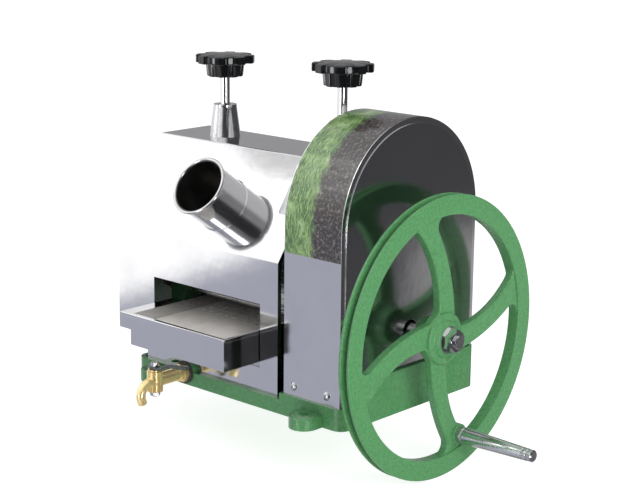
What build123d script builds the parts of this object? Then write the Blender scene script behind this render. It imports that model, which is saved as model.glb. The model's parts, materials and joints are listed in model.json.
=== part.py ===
from build123d import *
import math
import os

# Hand-cranked three-roller sugarcane juicer. Millimetres, +Z up.
# X runs along the rollers towards the handwheel, -Y is the feeding side.
# The origin is the centre of the cast base's underside.

# ---------------------------------------------------------------- driving sizes
BASE_LENGTH = 412.0          # along X
BASE_DEPTH = 296.0           # along Y
BASE_WALL = 7.0
BASE_END_WALL = 5.0          # the tall wall on the handwheel side
BASE_FLOOR = 8.0
BASE_LOW_WALL_TOP = 21.0
GEAR_BAY_WALL_TOP = 31.0
BASE_END_WALL_TOP = 62.0
BASE_CORNER_RADIUS = 16.0
PAD_HEIGHT = 8.0             # machined pads under the castings
LUG_SPACING_X = 300.0
LUG_SPACING_Y = 324.0
LUG_RADIUS = 21.0
LUG_THICKNESS = 18.0
LUG_HOLE_RADIUS = 7.0

SHEET = 1.5                  # covers
PAN_SHEET = 1.2              # tray and pan

COVER_LEFT = -252.0
COVER_RIGHT = 80.0
COVER_RETURN = 7.0           # the edge turned in at the right end
COVER_HALF_DEPTH = 141.0     # upright front and back faces
COVER_TOP_HALF_DEPTH = 50.0
COVER_BOTTOM = 14.0
COVER_OVERHANG_BOTTOM = 56.0  # left of the base
COVER_BEND = 212.0           # where the slopes begin
COVER_TOP = 344.0
COVER_BEND_RADIUS = 4.0

TRAY_WINDOW_LEFT = -173.0
TRAY_WINDOW_RIGHT = 46.0
TRAY_WINDOW_BOTTOM = 56.0
TRAY_WINDOW_TOP = 148.0
OUTLET_LEFT = -130.0         # crushed cane leaves here, in the back slope
OUTLET_RIGHT = 34.0
OUTLET_START = 14.0          # measured up the slope from its bend
OUTLET_END = 118.0

GEAR_COVER_LEFT = 96.0
GEAR_COVER_RIGHT = BASE_LENGTH / 2 - 7.0
GEAR_COVER_RADIUS = 145.0
GEAR_COVER_SPRING = 267.0    # where the round top begins
GEAR_COVER_FLANGE = 14.0
FACE_PLATE_INSET = 8.0

LEFT_CHEEK_IN = -152.0
RIGHT_CHEEK_IN = 55.0
CHEEK_THICKNESS = 28.0
CHEEK_HALF_FOOT = 100.0
CHEEK_HALF_TOP = 80.0
CHEEK_TOP = 285.0
CHEEK_FOOT_WIDTH = 20.0      # beyond the cheek plate
CHEEK_FOOT_THICKNESS = 14.0
CAP_HALF_DEPTH = 58.0
CAP_HEIGHT = 30.0

ROLLER_RADIUS = 45.6
ROLLER_BORE_RADIUS = 19.0
ROLLER_END_CLEARANCE = 1.5
ROLLER_FLUTES = 30
FLUTE_RADIUS = 1.6
FEED_SLOPE = 34.7            # degrees below the horizontal, going in
JOURNAL_RADIUS = 15.0
BUSH_WALL = 5.0
BUSH_FLANGE = 3.0
GEAR_SEAT_RADIUS = 13.0
RUNNING = 0.05               # radial clearance of a shaft in its bush
SEATED = 0.02                # radial clearance of a part fixed on a shaft
APART = 0.3                  # between pieces that move past each other

ROLLER_GEAR_MODULE = 4.0
ROLLER_GEAR_TEETH = 23
ROLLER_GEAR_WIDTH = 22.0
REDUCTION_MODULE = 3.0
PINION_TEETH = 16
BULL_TEETH = 64
BULL_WIDTH = 28.0
PRESSURE_ANGLE = 20.0
ROLLER_GEAR_PLAY = 1.3       # lets the top gear rise between the lower two
REDUCTION_PLAY = 0.35
KEY_WIDTH = 6.0
KEY_DEPTH = 3.0              # into each of the two pieces

DRIVE_HEIGHT = 113.0
DRIVE_RADIUS = 11.0
WHEEL_SEAT_RADIUS = 10.0

WHEEL_RADIUS = 200.0
WHEEL_RIM_INNER = 172.0
WHEEL_GROOVE_RADIUS = 187.0
WHEEL_RIM_WIDTH = 18.0
HUB_BACK = BASE_LENGTH / 2 + 20.0
WHEEL_FACE = HUB_BACK + 36.0  # X of the rim's outer face
WHEEL_FLANGE = 4.0           # rim flange beside the belt groove
HUB_RADIUS = 37.0
HUB_BOSS_RADIUS = 25.0
HUB_FRONT = HUB_BACK + 42.0
SPOKE_THICKNESS = 13.0
SPOKES = 4
HANDLE_CIRCLE = 153.7        # handle axis from the wheel axis
HANDLE_ANGLE = -75.0
HANDLE_LENGTH = 127.0
HANDLE_ROOT_RADIUS = 12.0
HANDLE_TIP_RADIUS = 8.8
SPINDLE_RADIUS = 5.5

LEFT_SCREW_X = -166.0
RIGHT_SCREW_X = 69.0
SCREW_RADIUS = 7.0
SCREW_TOP = 462.0
KNOB_RADIUS = 44.0
KNOB_LOBES = 8
KNOB_RIM_THICKNESS = 14.0
KNOB_HUB_RADIUS = 29.0
KNOB_HUB_HEIGHT = 20.0
LEFT_KNOB_BOTTOM = 434.0
RIGHT_KNOB_BOTTOM = 442.0
TOWER_HEIGHT = 48.0
TOWER_BOTTOM_RADIUS = 23.5
TOWER_TOP_RADIUS = 17.5

FEED_TUBE_X = -64.0
FEED_TUBE_UP_SLOPE = 67.0    # axis from the bend, along the slope
FEED_TUBE_RADIUS = 40.5
FEED_TUBE_INSIDE = 12.0      # behind the cover
FEED_TUBE_OUTSIDE = 60.0
FEED_LIP = 2.4               # radius of the rolled mouth
FEED_WELD = 1.4              # bead round the tube on the cover

TRAY_FRONT = -210.0
TRAY_BACK = 98.0
TRAY_LEFT = -147.5
TRAY_RIGHT = 44.5
TRAY_BOTTOM = 64.0
TRAY_TOP = 110.0
TRAY_WING = 21.0             # flat rim beside the left wall
STRAINER_LEVEL = 92.0
STRAINER_HOLE_RADIUS = 3.0
STRAINER_PITCH = 16.0
STRAINER_COLUMNS = 11
STRAINER_ROWS = 11

TAP_X = -100.0
TAP_HEIGHT = 19.0
TAP_SHANK_RADIUS = 7.0
TAP_BORE_RADIUS = 4.5
TAP_PLUG_FROM_WALL = 59.0
TAP_PLUG_RADIUS = 7.5
TAP_SPOUT_RADIUS = 6.8
TAP_SPOUT_REACH = 26.0
TAP_SPOUT_DROP = 29.0
TAP_LEVER_LENGTH = 68.0
TAP_LEVER_RISE = 13.0
TAP_WASHER_RADIUS = 17.0

GEAR_SCREW_X = (GEAR_COVER_LEFT + 18.5, GEAR_COVER_RIGHT - 23.5)
GEAR_SCREW_Z = 45.0
COVER_SCREW_X = (-120.0, 20.0)
COVER_SCREW_Z = 38.0
CHEEK_BOLT_RADIUS = 4.0
PEDESTAL_BOLT_RADIUS = 4.0
CAP_BOLT_RADIUS = 5.0
CAP_BOLT_Y = 46.0
TIE_Y = 70.0
TIE_Z = 274.0
TIE_RADIUS = 8.0
TIE_STUD_RADIUS = 5.0

TRASH_WEB = 8.0
TRASH_BOTTOM = 132.0
TRASH_SHOULDER = 168.0
TRASH_TOP = 180.0

PEDESTAL_RIGHT = GEAR_COVER_RIGHT - 17.0
PEDESTAL_LEFT = PEDESTAL_RIGHT - 30.0

# ---------------------------------------------------------------- worked out from them
BASE_X = BASE_LENGTH / 2
BASE_Y = BASE_DEPTH / 2
PAD_TOP = BASE_FLOOR + PAD_HEIGHT
LEFT_CHEEK_OUT = LEFT_CHEEK_IN - CHEEK_THICKNESS
RIGHT_CHEEK_OUT = RIGHT_CHEEK_IN + CHEEK_THICKNESS
ROLLER_LEFT = LEFT_CHEEK_IN + ROLLER_END_CLEARANCE
ROLLER_RIGHT = RIGHT_CHEEK_IN - ROLLER_END_CLEARANCE
ROLLER_SPACING = ROLLER_GEAR_MODULE * ROLLER_GEAR_TEETH
REDUCTION_SPACING = REDUCTION_MODULE * (PINION_TEETH + BULL_TEETH) / 2
TOP_Z = DRIVE_HEIGHT + REDUCTION_SPACING
LOW_Y = ROLLER_SPACING * math.sin(math.radians(FEED_SLOPE))
LOW_Z = TOP_Z - ROLLER_SPACING * math.cos(math.radians(FEED_SLOPE))
BUSH_OUTER = JOURNAL_RADIUS + RUNNING + BUSH_WALL
DRIVE_BUSH_OUTER = DRIVE_RADIUS + RUNNING + BUSH_WALL
BLOCK_HALF = BUSH_OUTER + 13.0
BLOCK_BOTTOM = TOP_Z - BLOCK_HALF
BLOCK_TOP = TOP_Z + BLOCK_HALF
SLOPE_RUN = COVER_HALF_DEPTH - COVER_TOP_HALF_DEPTH
SLOPE_RISE = COVER_TOP - COVER_BEND
SLOPE_LENGTH = math.hypot(SLOPE_RUN, SLOPE_RISE)
ROLLER_GEAR_RIGHT = LEFT_CHEEK_OUT - 14.0
ROLLER_GEAR_LEFT = ROLLER_GEAR_RIGHT - ROLLER_GEAR_WIDTH
BULL_LEFT = RIGHT_CHEEK_OUT + 21.0
BULL_RIGHT = BULL_LEFT + BULL_WIDTH
HANDLE_Y = HANDLE_CIRCLE * math.cos(math.radians(HANDLE_ANGLE))
HANDLE_Z = DRIVE_HEIGHT + HANDLE_CIRCLE * math.sin(math.radians(HANDLE_ANGLE))
TAP_PLUG_Y = -BASE_Y - TAP_PLUG_FROM_WALL
PAN_FRONT = -COVER_HALF_DEPTH + SHEET + 0.1
PAN_BACK = 128.0
PAN_LEFT = LEFT_CHEEK_IN + 3.0
PAN_RIGHT = RIGHT_CHEEK_IN - 3.0
PAN_TOP = TRAY_BOTTOM - APART


# ---------------------------------------------------------------- small helpers
def block(x0, x1, y0, y1, z0, z1):
    """A box between two corners."""
    return Pos((x0 + x1) / 2, (y0 + y1) / 2, (z0 + z1) / 2) * Box(x1 - x0, y1 - y0, z1 - z0)


def rod_x(radius, x0, x1, y=0.0, z=0.0):
    """A cylinder along X."""
    return Pos((x0 + x1) / 2, y, z) * Rot(0, 90, 0) * Cylinder(radius, x1 - x0)


def rod_y(radius, y0, y1, x=0.0, z=0.0):
    """A cylinder along Y."""
    return Pos(x, (y0 + y1) / 2, z) * Rot(90, 0, 0) * Cylinder(radius, y1 - y0)


def rod_z(radius, z0, z1, x=0.0, y=0.0):
    """A cylinder along Z."""
    return Pos(x, y, (z0 + z1) / 2) * Cylinder(radius, z1 - z0)


def cone_z(bottom_radius, top_radius, z0, z1, x=0.0, y=0.0):
    """A frustum along Z."""
    return Pos(x, y, (z0 + z1) / 2) * Cone(bottom_radius, top_radius, z1 - z0)


def turned_x(profile, y=0.0, z=0.0):
    """A solid of revolution about an axis along X, from (x, radius) points."""
    ends = [(profile[0][0], 0), *profile, (profile[-1][0], 0)]
    return Pos(0, y, z) * revolve(make_face(Polyline(*ends, close=True)), Axis.X)


def prism_x(points, x0, x1):
    """A straight extrusion along X of an outline given as (y, z) points."""
    outline = Polyline(*[(0, y, z) for y, z in points], close=True)
    return Pos(x0, 0, 0) * extrude(make_face(outline), amount=x1 - x0, dir=(1, 0, 0))


def hexagon_x(across_flats, x0, x1, y=0.0, z=0.0):
    """A hexagonal bar along X."""
    bar = extrude(RegularPolygon(across_flats / 2, 6, major_radius=False), x1 - x0)
    return Pos(x0, y, z) * Rot(0, 90, 0) * bar


def hexagon_z(across_flats, z0, z1, x=0.0, y=0.0):
    """A hexagonal bar along Z."""
    bar = extrude(RegularPolygon(across_flats / 2, 6, major_radius=False), z1 - z0)
    return Pos(x, y, z0) * bar


def hexagon_y(across_flats, y0, y1, x=0.0, z=0.0):
    """A hexagonal bar along Y."""
    bar = extrude(RegularPolygon(across_flats / 2, 6, major_radius=False), y1 - y0)
    return Pos(x, y1, z) * Rot(90, 0, 0) * bar


def polar(radius, degrees):
    """A point of the YZ plane."""
    angle = math.radians(degrees)
    return (0, radius * math.cos(angle), radius * math.sin(angle))


def involute(angle):
    """The involute function of a pressure angle in radians."""
    return math.tan(angle) - angle


def gear(module, teeth, play, first_tooth, x0, x1, bore):
    """A spur gear along X. first_tooth is the middle of one tooth, in degrees from +Y."""
    pitch_radius = module * teeth / 2
    base_radius = pitch_radius * math.cos(math.radians(PRESSURE_ANGLE))
    tip = pitch_radius + 0.95 * module
    root = pitch_radius - 1.25 * module
    start = max(root, base_radius)
    thickness = math.pi * module / 2 - play
    at_pitch = thickness / (2 * pitch_radius) + involute(math.radians(PRESSURE_ANGLE))

    def half_tooth(radius):
        lean = involute(math.acos(min(1.0, base_radius / radius)))
        return math.degrees(at_pitch - lean)

    middle = (start + tip) / 2
    step = 360.0 / teeth
    edges = []
    for number in range(teeth):
        centre = first_tooth + number * step
        foot = centre + half_tooth(start)
        next_foot = centre + step - half_tooth(start)
        right = ThreePointArc(
            polar(start, centre - half_tooth(start)),
            polar(middle, centre - half_tooth(middle)),
            polar(tip, centre - half_tooth(tip)),
        )
        crown = ThreePointArc(
            polar(tip, centre - half_tooth(tip)),
            polar(tip, centre),
            polar(tip, centre + half_tooth(tip)),
        )
        left = ThreePointArc(
            polar(tip, centre + half_tooth(tip)),
            polar(middle, centre + half_tooth(middle)),
            polar(start, foot),
        )
        floor = ThreePointArc(
            polar(root, foot), polar(root, centre + step / 2), polar(root, next_foot)
        )
        edges += [right, crown, left, floor]
        if start > root:
            edges.append(Line(polar(start, foot), polar(root, foot)))
            edges.append(Line(polar(root, next_foot), polar(start, next_foot)))
    blank = extrude(make_face(edges), amount=x1 - x0, dir=(1, 0, 0))
    return Pos(x0, 0, 0) * blank - rod_x(bore, x0 - 1, x1 + 1)


def key_slot(seat_radius, x0, x1, y=0.0, z=0.0):
    """The space of a parallel key on top of a shaft."""
    half = KEY_WIDTH / 2
    low = z + seat_radius - KEY_DEPTH
    return block(x0, x1, y - half, y + half, low, low + 2 * KEY_DEPTH)


def cover_outline(inset):
    """The main cover's outline as (y, z) points, moved in by inset and open below."""
    slope = math.atan2(SLOPE_RISE, SLOPE_RUN)
    side = COVER_HALF_DEPTH - inset
    top = COVER_TOP - inset
    bend = COVER_BEND - inset * math.tan((math.pi / 2 - slope) / 2)
    top_half = COVER_TOP_HALF_DEPTH - inset * math.tan(slope / 2)
    low = COVER_BOTTOM if inset == 0 else COVER_BOTTOM - 1
    return [(-side, low), (-side, bend), (-top_half, top), (top_half, top), (side, bend), (side, low)]


def cover_solid(inset, x0, x1):
    """The space inside the cover's outline, its bends rounded."""
    solid = prism_x(cover_outline(inset), x0, x1)
    bends = solid.edges().filter_by(Axis.X).filter_by(lambda e: e.center().Z > COVER_BEND - 20)
    return fillet(bends, COVER_BEND_RADIUS - inset)


def slope_point(along, out, front=True):
    """(y, z) of a point on a slope, along it from the bend and out from its face."""
    run = SLOPE_RUN / SLOPE_LENGTH
    rise = SLOPE_RISE / SLOPE_LENGTH
    y = COVER_HALF_DEPTH - along * run + out * rise
    z = COVER_BEND + along * rise + out * run
    return (-y if front else y, z)


def on_feed_axis(solid):
    """Places a solid drawn along +Z from the origin on the feed tube's axis."""
    y, z = slope_point(FEED_TUBE_UP_SLOPE, 0)
    return Pos(FEED_TUBE_X, y, z) * Rot(90 - FEED_SLOPE, 0, 0) * solid


# ---------------------------------------------------------------- base and castings
def base_casting():
    outer = extrude(RectangleRounded(BASE_LENGTH, BASE_DEPTH, BASE_CORNER_RADIUS), BASE_END_WALL_TOP)
    inner_right = BASE_X - BASE_END_WALL
    inner_left = -BASE_X + BASE_WALL
    inner = block(inner_left, inner_right, -BASE_Y + BASE_WALL, BASE_Y - BASE_WALL, BASE_FLOOR, 70)
    inner = fillet(inner.edges().filter_by(Axis.Z), BASE_CORNER_RADIUS - BASE_WALL)
    body = outer - inner
    bay_left = RIGHT_CHEEK_OUT + 7
    body -= block(-BASE_X - 1, bay_left, -BASE_Y - 1, BASE_Y + 1, BASE_LOW_WALL_TOP, 70)
    body -= block(bay_left - 1, inner_right, -BASE_Y - 1, BASE_Y + 1, GEAR_BAY_WALL_TOP, 70)
    ramp = [(-BASE_Y - 1, GEAR_BAY_WALL_TOP), (-130, GEAR_BAY_WALL_TOP), (-100, 63), (-BASE_Y - 1, 63)]
    body -= prism_x(ramp, inner_right - 1, BASE_X + 1)
    pads = [
        (LEFT_CHEEK_OUT - CHEEK_FOOT_WIDTH + 4, LEFT_CHEEK_IN, CHEEK_HALF_FOOT),
        (RIGHT_CHEEK_IN, RIGHT_CHEEK_OUT + CHEEK_FOOT_WIDTH, CHEEK_HALF_FOOT),
        (PEDESTAL_LEFT - 14, PEDESTAL_RIGHT + 14, 50.0),
    ]
    for x0, x1, half in pads:
        body += block(max(x0, inner_left - 1), x1, -half, half, BASE_FLOOR - 1, PAD_TOP)
    for side in (-1, 1):
        for x in (-LUG_SPACING_X / 2, LUG_SPACING_X / 2):
            y = side * LUG_SPACING_Y / 2
            lug = rod_z(LUG_RADIUS, 0, LUG_THICKNESS, x, y)
            near, far = sorted((y, side * 146))
            lug += block(x - LUG_RADIUS, x + LUG_RADIUS, near, far, 0, LUG_THICKNESS)
            lug = fillet(lug.edges().group_by(Axis.Z)[-1], 3)
            body += lug
            body -= rod_z(LUG_HOLE_RADIUS, -1, LUG_THICKNESS + 1, x, y)
    for side in (-1, 1):
        inside = side * (GEAR_COVER_RADIUS - SHEET)
        back = inside - side * 6
        for x in GEAR_SCREW_X:
            tab = block(x - 9, x + 9, min(inside, back), max(inside, back), 20, 58)
            body += tab - rod_y(2.5, -160, 160, x, GEAR_SCREW_Z)
    for x in COVER_SCREW_X:
        back = COVER_HALF_DEPTH - SHEET
        tab = block(x - 9, x + 9, back - 6, back, BASE_FLOOR - 1, 50)
        body += tab - rod_y(2.5, 100, 160, x, COVER_SCREW_Z)
    body -= rod_y(TAP_SHANK_RADIUS + 0.1, -BASE_Y - 1, -100, TAP_X, TAP_HEIGHT)
    body += rod_y(TAP_WASHER_RADIUS, -BASE_Y, -COVER_HALF_DEPTH, TAP_X, TAP_HEIGHT) - rod_y(
        TAP_SHANK_RADIUS + 0.1, -BASE_Y - 1, -100, TAP_X, TAP_HEIGHT
    )
    for x, y, radius in cheek_bolt_places() + pedestal_bolt_places():
        body -= rod_z(radius, 2, PAD_TOP + 1, x, y)
    return body


def cheek_bolt_places():
    """(x, y, radius) of the screws that hold both cheeks down."""
    left = LEFT_CHEEK_OUT - 8
    right = RIGHT_CHEEK_OUT + 10
    return [(x, y, CHEEK_BOLT_RADIUS) for x in (left, right) for y in (-75, 75)]


def pedestal_bolt_places():
    middle = (PEDESTAL_LEFT + PEDESTAL_RIGHT) / 2
    return [(middle, y, PEDESTAL_BOLT_RADIUS) for y in (-38, 38)]


def cheek(x_in, x_out):
    """One of the two side castings that carry the rollers."""
    x0 = min(x_in, x_out)
    x1 = max(x_in, x_out)
    foot_top = PAD_TOP + CHEEK_FOOT_THICKNESS
    outline = [
        (-CHEEK_HALF_FOOT, PAD_TOP),
        (-CHEEK_HALF_FOOT, 190),
        (-CHEEK_HALF_TOP, 240),
        (-CHEEK_HALF_TOP, CHEEK_TOP),
        (CHEEK_HALF_TOP, CHEEK_TOP),
        (CHEEK_HALF_TOP, 240),
        (CHEEK_HALF_FOOT, 190),
        (CHEEK_HALF_FOOT, PAD_TOP),
    ]
    body = prism_x(outline, x0, x1)
    body = fillet(body.edges().filter_by(Axis.X).filter_by(lambda e: 180 < e.center().Z < 250), 15)
    if x_out > x_in:
        body += block(x1, x1 + CHEEK_FOOT_WIDTH, -CHEEK_HALF_FOOT, CHEEK_HALF_FOOT, PAD_TOP, foot_top)
        body -= rod_x(DRIVE_BUSH_OUTER + SEATED, x0 - 1, x1 + 1, 0, DRIVE_HEIGHT)
    else:
        body += block(x0 - CHEEK_FOOT_WIDTH + 4, x0, -CHEEK_HALF_FOOT, CHEEK_HALF_FOOT, PAD_TOP, foot_top)
    for y in (-LOW_Y, LOW_Y):
        body -= rod_x(BUSH_OUTER + SEATED, x0 - 1, x1 + 1, y, LOW_Z)
    half = BLOCK_HALF + APART
    body -= block(x0 - 1, x1 + 1, -half, half, BLOCK_BOTTOM - APART, CHEEK_TOP + 1)
    half = TRASH_WEB / 2 + SEATED
    tongue = 8.0
    if x_out > x_in:
        body -= block(x0 - 1, x0 + tongue, -half, half, TRASH_BOTTOM - SEATED, TRASH_SHOULDER)
    else:
        body -= block(x1 - tongue, x1 + 1, -half, half, TRASH_BOTTOM - SEATED, TRASH_SHOULDER)
    for y in (-TIE_Y, TIE_Y):
        body -= rod_x(TIE_STUD_RADIUS + 0.1, x0 - 1, x1 + 1, y, TIE_Z)
    for x, y, radius in cheek_bolt_places():
        if x0 - 30 < x < x1 + 30:
            body -= rod_z(radius + 0.1, PAD_TOP - 1, foot_top + 1, x, y)
    x = (x0 + x1) / 2
    for y in (-CAP_BOLT_Y, CAP_BOLT_Y):
        body -= rod_z(CAP_BOLT_RADIUS, CHEEK_TOP - 30, CHEEK_TOP + 1, x, y)
    return body


def cap(x0, x1, screw_x):
    """The bridge over a cheek's window, with the nut boss for the pressure screw."""
    under_cover = COVER_TOP - SHEET
    body = block(x0, x1, -CAP_HALF_DEPTH, CAP_HALF_DEPTH, CHEEK_TOP, CHEEK_TOP + CAP_HEIGHT)
    body = fillet(body.edges().filter_by(Axis.Z), 6)
    body += rod_z(13, CHEEK_TOP + CAP_HEIGHT - 1, under_cover, screw_x, 0)
    body -= rod_z(SCREW_RADIUS + RUNNING, CHEEK_TOP - 1, COVER_TOP, screw_x, 0)
    middle = (x0 + x1) / 2
    for y in (-CAP_BOLT_Y, CAP_BOLT_Y):
        body -= rod_z(CAP_BOLT_RADIUS + 0.2, CHEEK_TOP - 1, CHEEK_TOP + CAP_HEIGHT + 1, middle, y)
    return body


def pedestal():
    """The outer bearing bracket of the handwheel shaft."""
    foot_top = PAD_TOP + 12
    flanks = [(-34, PAD_TOP), (-22, DRIVE_HEIGHT), (22, DRIVE_HEIGHT), (34, PAD_TOP)]
    body = prism_x(flanks, PEDESTAL_LEFT, PEDESTAL_RIGHT)
    body += rod_x(26, PEDESTAL_LEFT, PEDESTAL_RIGHT, 0, DRIVE_HEIGHT)
    body += block(PEDESTAL_LEFT - 10, PEDESTAL_RIGHT + 10, -50, 50, PAD_TOP, foot_top)
    body -= rod_x(DRIVE_BUSH_OUTER + SEATED, PEDESTAL_LEFT - 1, PEDESTAL_RIGHT + 1, 0, DRIVE_HEIGHT)
    for x, y, radius in pedestal_bolt_places():
        body -= rod_z(radius + 0.1, PAD_TOP - 1, foot_top + 30, x, y)
        body -= rod_z(9, foot_top, foot_top + 30, x, y)
    return body


def hex_screw(x, y, seat, radius, across_flats, depth, head):
    """A hexagon-head screw pointing down from its seat."""
    return rod_z(radius - SEATED, seat - depth, seat, x, y) + hexagon_z(across_flats, seat, seat + head, x, y)


def cheek_bolts():
    seat = PAD_TOP + CHEEK_FOOT_THICKNESS
    return [hex_screw(x, y, seat, r, 13, CHEEK_FOOT_THICKNESS + 12, 5.5) for x, y, r in cheek_bolt_places()]


def pedestal_bolts():
    seat = PAD_TOP + 12
    return [hex_screw(x, y, seat, r, 13, 24, 5.5) for x, y, r in pedestal_bolt_places()]


def cap_bolts():
    seat = CHEEK_TOP + CAP_HEIGHT
    places = [
        (x, y)
        for x in ((LEFT_CHEEK_IN + LEFT_CHEEK_OUT) / 2, (RIGHT_CHEEK_IN + RIGHT_CHEEK_OUT) / 2)
        for y in (-CAP_BOLT_Y, CAP_BOLT_Y)
    ]
    return [hex_screw(x, y, seat, CAP_BOLT_RADIUS, 16, CAP_HEIGHT + 28, 7) for x, y in places]


def bush(bore, outer, x_face, x_end, y, z):
    """A flanged plain bearing. Its flange stands on x_face, away from x_end."""
    out = -BUSH_FLANGE if x_end > x_face else BUSH_FLANGE
    body = rod_x(outer, min(x_face, x_end), max(x_face, x_end), y, z)
    body += rod_x(outer + 4, min(x_face, x_face + out), max(x_face, x_face + out), y, z)
    return body - rod_x(bore, min(x_face, x_end) - 5, max(x_face, x_end) + 5, y, z)


def lower_bushes():
    bore = JOURNAL_RADIUS + RUNNING
    group = []
    for y in (-LOW_Y, LOW_Y):
        group.append(bush(bore, BUSH_OUTER, LEFT_CHEEK_OUT, LEFT_CHEEK_IN, y, LOW_Z))
        group.append(bush(bore, BUSH_OUTER, RIGHT_CHEEK_OUT, RIGHT_CHEEK_IN, y, LOW_Z))
    return group


def drive_bushes():
    bore = DRIVE_RADIUS + RUNNING
    return [
        bush(bore, DRIVE_BUSH_OUTER, RIGHT_CHEEK_OUT, RIGHT_CHEEK_IN, 0, DRIVE_HEIGHT),
        bush(bore, DRIVE_BUSH_OUTER, PEDESTAL_LEFT, PEDESTAL_RIGHT, 0, DRIVE_HEIGHT),
    ]


def tie_bars():
    group = []
    for y in (-TIE_Y, TIE_Y):
        bar = rod_x(TIE_RADIUS, LEFT_CHEEK_IN, RIGHT_CHEEK_IN, y, TIE_Z)
        bar += rod_x(TIE_STUD_RADIUS, LEFT_CHEEK_OUT - 11, RIGHT_CHEEK_OUT + 11, y, TIE_Z)
        group.append(bar)
    return group


def tie_nuts():
    group = []
    for y in (-TIE_Y, TIE_Y):
        for x0, x1 in ((LEFT_CHEEK_OUT - 8, LEFT_CHEEK_OUT), (RIGHT_CHEEK_OUT, RIGHT_CHEEK_OUT + 8)):
            nut = hexagon_x(17, x0, x1, y, TIE_Z)
            group.append(nut - rod_x(TIE_STUD_RADIUS + SEATED, x0 - 1, x1 + 1, y, TIE_Z))
    return group


def trash_plate():
    """The turner bar between the lower rollers. It leads the cane to the second nip."""
    web = TRASH_WEB / 2
    outline = [(-web, TRASH_BOTTOM), (-web, TRASH_SHOULDER), (-8, 174.5), (-9, TRASH_TOP)]
    outline += [(9, TRASH_TOP), (8, 174.5), (web, TRASH_SHOULDER), (web, TRASH_BOTTOM)]
    bar = prism_x(outline, LEFT_CHEEK_IN, RIGHT_CHEEK_IN)
    bar += block(LEFT_CHEEK_IN - 7.9, RIGHT_CHEEK_IN + 7.9, -web, web, TRASH_BOTTOM, TRASH_SHOULDER - SEATED)
    return bar - rod_x(ROLLER_RADIUS + 6.0, LEFT_CHEEK_IN - 9, RIGHT_CHEEK_IN + 9, 0, TOP_Z)


# ---------------------------------------------------------------- rollers
def roller():
    """A fluted roller shell, drawn on the X axis."""
    shell = rod_x(ROLLER_RADIUS, ROLLER_LEFT, ROLLER_RIGHT)
    shell -= rod_x(ROLLER_BORE_RADIUS, ROLLER_LEFT - 1, ROLLER_RIGHT + 1)
    flutes = [
        Pos(0, *polar(ROLLER_RADIUS + 0.6, number * 360 / ROLLER_FLUTES)[1:])
        * rod_x(FLUTE_RADIUS, ROLLER_LEFT - 1, ROLLER_RIGHT + 1)
        for number in range(ROLLER_FLUTES)
    ]
    return shell - flutes


def roller_shaft(right_end):
    """A stepped roller shaft, drawn on the X axis."""
    body_radius = ROLLER_BORE_RADIUS - SEATED
    profile = [
        (ROLLER_GEAR_LEFT - 12, 8.0),
        (ROLLER_GEAR_LEFT, 8.0),
        (ROLLER_GEAR_LEFT, GEAR_SEAT_RADIUS),
        (ROLLER_GEAR_RIGHT, GEAR_SEAT_RADIUS),
        (ROLLER_GEAR_RIGHT, JOURNAL_RADIUS),
        (ROLLER_LEFT, JOURNAL_RADIUS),
        (ROLLER_LEFT, body_radius),
        (ROLLER_RIGHT, body_radius),
        (ROLLER_RIGHT, JOURNAL_RADIUS),
        (right_end, JOURNAL_RADIUS),
    ]
    return profile


def top_shaft():
    profile = roller_shaft(BULL_LEFT)
    profile += [(BULL_LEFT, GEAR_SEAT_RADIUS), (BULL_RIGHT + 8, GEAR_SEAT_RADIUS)]
    profile += [(BULL_RIGHT + 8, 8.0), (BULL_RIGHT + 18, 8.0)]
    shaft = turned_x(profile)
    shaft -= key_slot(GEAR_SEAT_RADIUS, ROLLER_GEAR_LEFT, ROLLER_GEAR_RIGHT)
    shaft -= key_slot(GEAR_SEAT_RADIUS, BULL_LEFT, BULL_RIGHT + 8)
    return Pos(0, 0, TOP_Z) * shaft


def lower_shaft(y):
    shaft = turned_x(roller_shaft(RIGHT_CHEEK_OUT + 6))
    shaft -= key_slot(GEAR_SEAT_RADIUS, ROLLER_GEAR_LEFT, ROLLER_GEAR_RIGHT)
    return Pos(0, y, LOW_Z) * shaft


def roller_gear(first_tooth):
    """A roller gear with its hub against the journal, drawn on the X axis."""
    bore = GEAR_SEAT_RADIUS + SEATED
    size = (ROLLER_GEAR_MODULE, ROLLER_GEAR_TEETH, ROLLER_GEAR_PLAY)
    wheel = gear(*size, first_tooth, ROLLER_GEAR_LEFT, ROLLER_GEAR_RIGHT, bore)
    return wheel - key_slot(GEAR_SEAT_RADIUS, ROLLER_GEAR_LEFT - 1, ROLLER_GEAR_RIGHT + 1)


def roller_gear_nut():
    nut = hexagon_x(24, ROLLER_GEAR_LEFT - 10, ROLLER_GEAR_LEFT)
    return nut - rod_x(8.0 + SEATED, ROLLER_GEAR_LEFT - 11, ROLLER_GEAR_LEFT + 1)


def roller_gear_key():
    return key_slot(GEAR_SEAT_RADIUS, ROLLER_GEAR_LEFT, ROLLER_GEAR_RIGHT)


def lower_first_tooth(side):
    """The tooth angle of a lower roller gear that meshes with a top gear tooth at -90 degrees."""
    step = 360.0 / ROLLER_GEAR_TEETH
    to_lower = -90 + side * FEED_SLOPE
    steps = round((to_lower + 90) / step)
    off_line = (-90 + steps * step) - to_lower
    return to_lower + 180 - off_line + step / 2


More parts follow.
